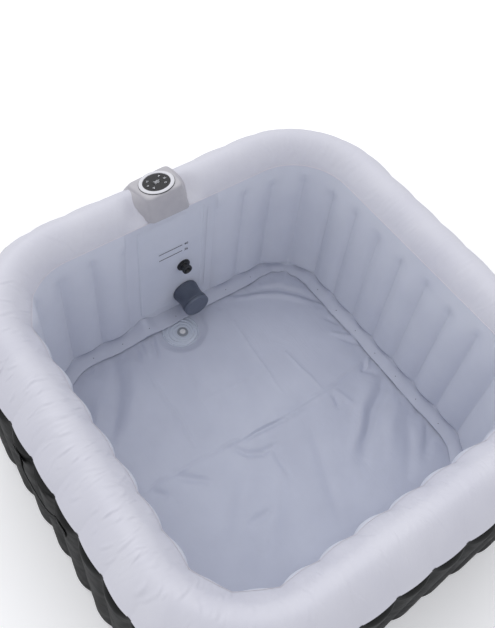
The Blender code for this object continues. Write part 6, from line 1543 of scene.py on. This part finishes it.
# Webbing: flat-woven black polypropylene, with a herringbone of fine ribs and a dull sheen.
woven_webbing, tree = new_material("woven_polypropylene_webbing")
metres = add_node(tree, "UVMap", {"uv_map": "metres"})
along = add_node(tree, "TexWave", {
    "bands_direction": "X", "Vector": metres, "Scale": 1000 / CORD_MM / 20 * 2 * math.pi, "Distortion": 0.4
})
across = add_node(tree, "TexWave", {
    "bands_direction": "DIAGONAL", "Vector": metres, "Scale": 1000 / CORD_MM / 20 * 2 * math.pi,
    "Distortion": 0.4
})
weave = add_node(tree, "Math", {"operation": "MULTIPLY", 0: along.outputs["Fac"], 1: across.outputs["Fac"]})
finish(tree, weave, "#0A0B0B", "#1B1C1D", (0.9, 0.0005), {
    "Roughness": 0.62, "IOR": 1.49, "Specular IOR Level": 0.22
})

# Thread: bonded polyester, twisted, grey with a soft sheen.
THREAD_TWIST_MM = 0.9
STITCHES_HALF, STITCH_PITCH, STITCH_SIDES, STITCH_HALF, THREAD_HALF = 0.022, 0.0044, 8, 0.0016, 0.0005
bonded_thread, tree = new_material("bonded_polyester_thread")
place = add_node(tree, "TexCoord").outputs["Object"]
twist = add_node(tree, "TexWave", {
    "bands_direction": "DIAGONAL", "Vector": place, "Scale": 1000 / THREAD_TWIST_MM / 20 * 2 * math.pi
})
finish(tree, twist.outputs["Fac"], "#4A4C4F", "#6A6C70", (0.5, 0.0002), {"Roughness": 0.5, "IOR": 1.57})

run = np.linspace(-PATCH_OUTER, PATCH_OUTER, 97)
share = np.clip((PATCH_INNER - np.abs(run)) / PATCH_INNER, 0, 1)
rise = np.interp(share, RUN_SHARES, RISE_SHARES) * STAND_OUT
rise = np.convolve(np.pad(rise, 2, mode="edge"), np.ones(5) / 5, mode="valid")
half = STRAP_HALF + (PATCH_HALF_HIGH - STRAP_HALF) * (1 - smooth_step(share, 0.01, 0.10))
round_end = np.clip((np.abs(run) - PATCH_OUTER + 0.012) / 0.012, 0, 1)
half = half - 0.012 * (1 - np.sqrt(1 - round_end ** 2 * 0.999))
on_patch = np.clip((np.abs(run) - PATCH_INNER) / (PATCH_OUTER - PATCH_INNER), 0, 1)
rise = rise - 0.0016 * (2 * on_patch - 1) ** 2 * (on_patch > 0) + 0.0008
over = np.linspace(-1, 1, 15)
for name, toward in (("handle_strap_left", -1), ("handle_strap_right", 1)):
    grid = np.stack(
        [
            np.broadcast_to(toward * (HANDLE_WALL + rise)[:, None], (len(run), len(over))),
            np.broadcast_to(run[:, None], (len(run), len(over))), HANDLE_AT + half[:, None] * over[None, :]
        ], -1
    )
    strap = skin(name, grid, woven_webbing, around=False, inside_out=toward < 0)
    cloth = strap.modifiers.new("cloth", "SOLIDIFY")
    cloth.thickness, cloth.offset = STRAP_THICK, 1
    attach(strap, "tub")
    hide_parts(name.replace("_strap", ""))
    # Two rows of thick thread hold each end down.
    stitches = []
    for end in (-1, 1):
        for row in (PATCH_INNER + 0.008, PATCH_OUTER - 0.010):
            for z in np.arange(-STITCHES_HALF, STITCHES_HALF + 0.0001, STITCH_PITCH):
                out = HANDLE_WALL + float(np.interp(end * row, run, rise)) + STRAP_THICK
                stitches.append([toward * out, end * row, HANDLE_AT + z])
    points, faces = [], []
    for x, y, z in stitches:
        first = len(points)
        for angle in np.arange(STITCH_SIDES) / STITCH_SIDES * 2 * math.pi:
            round_y, round_z = THREAD_HALF * math.cos(angle), STITCH_HALF * math.sin(angle)
            points.append((x + toward * 0.0002, y + round_y, z + round_z))
        points.append((x + toward * 0.0007, y, z))
        for turn in range(STITCH_SIDES):
            edge = [first + turn, first + (turn + 1) % STITCH_SIDES]
            faces.append((*edge[::toward], first + STITCH_SIDES))
    thread = build(name + "_stitches", points, faces, bonded_thread)
    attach(thread, "tub")
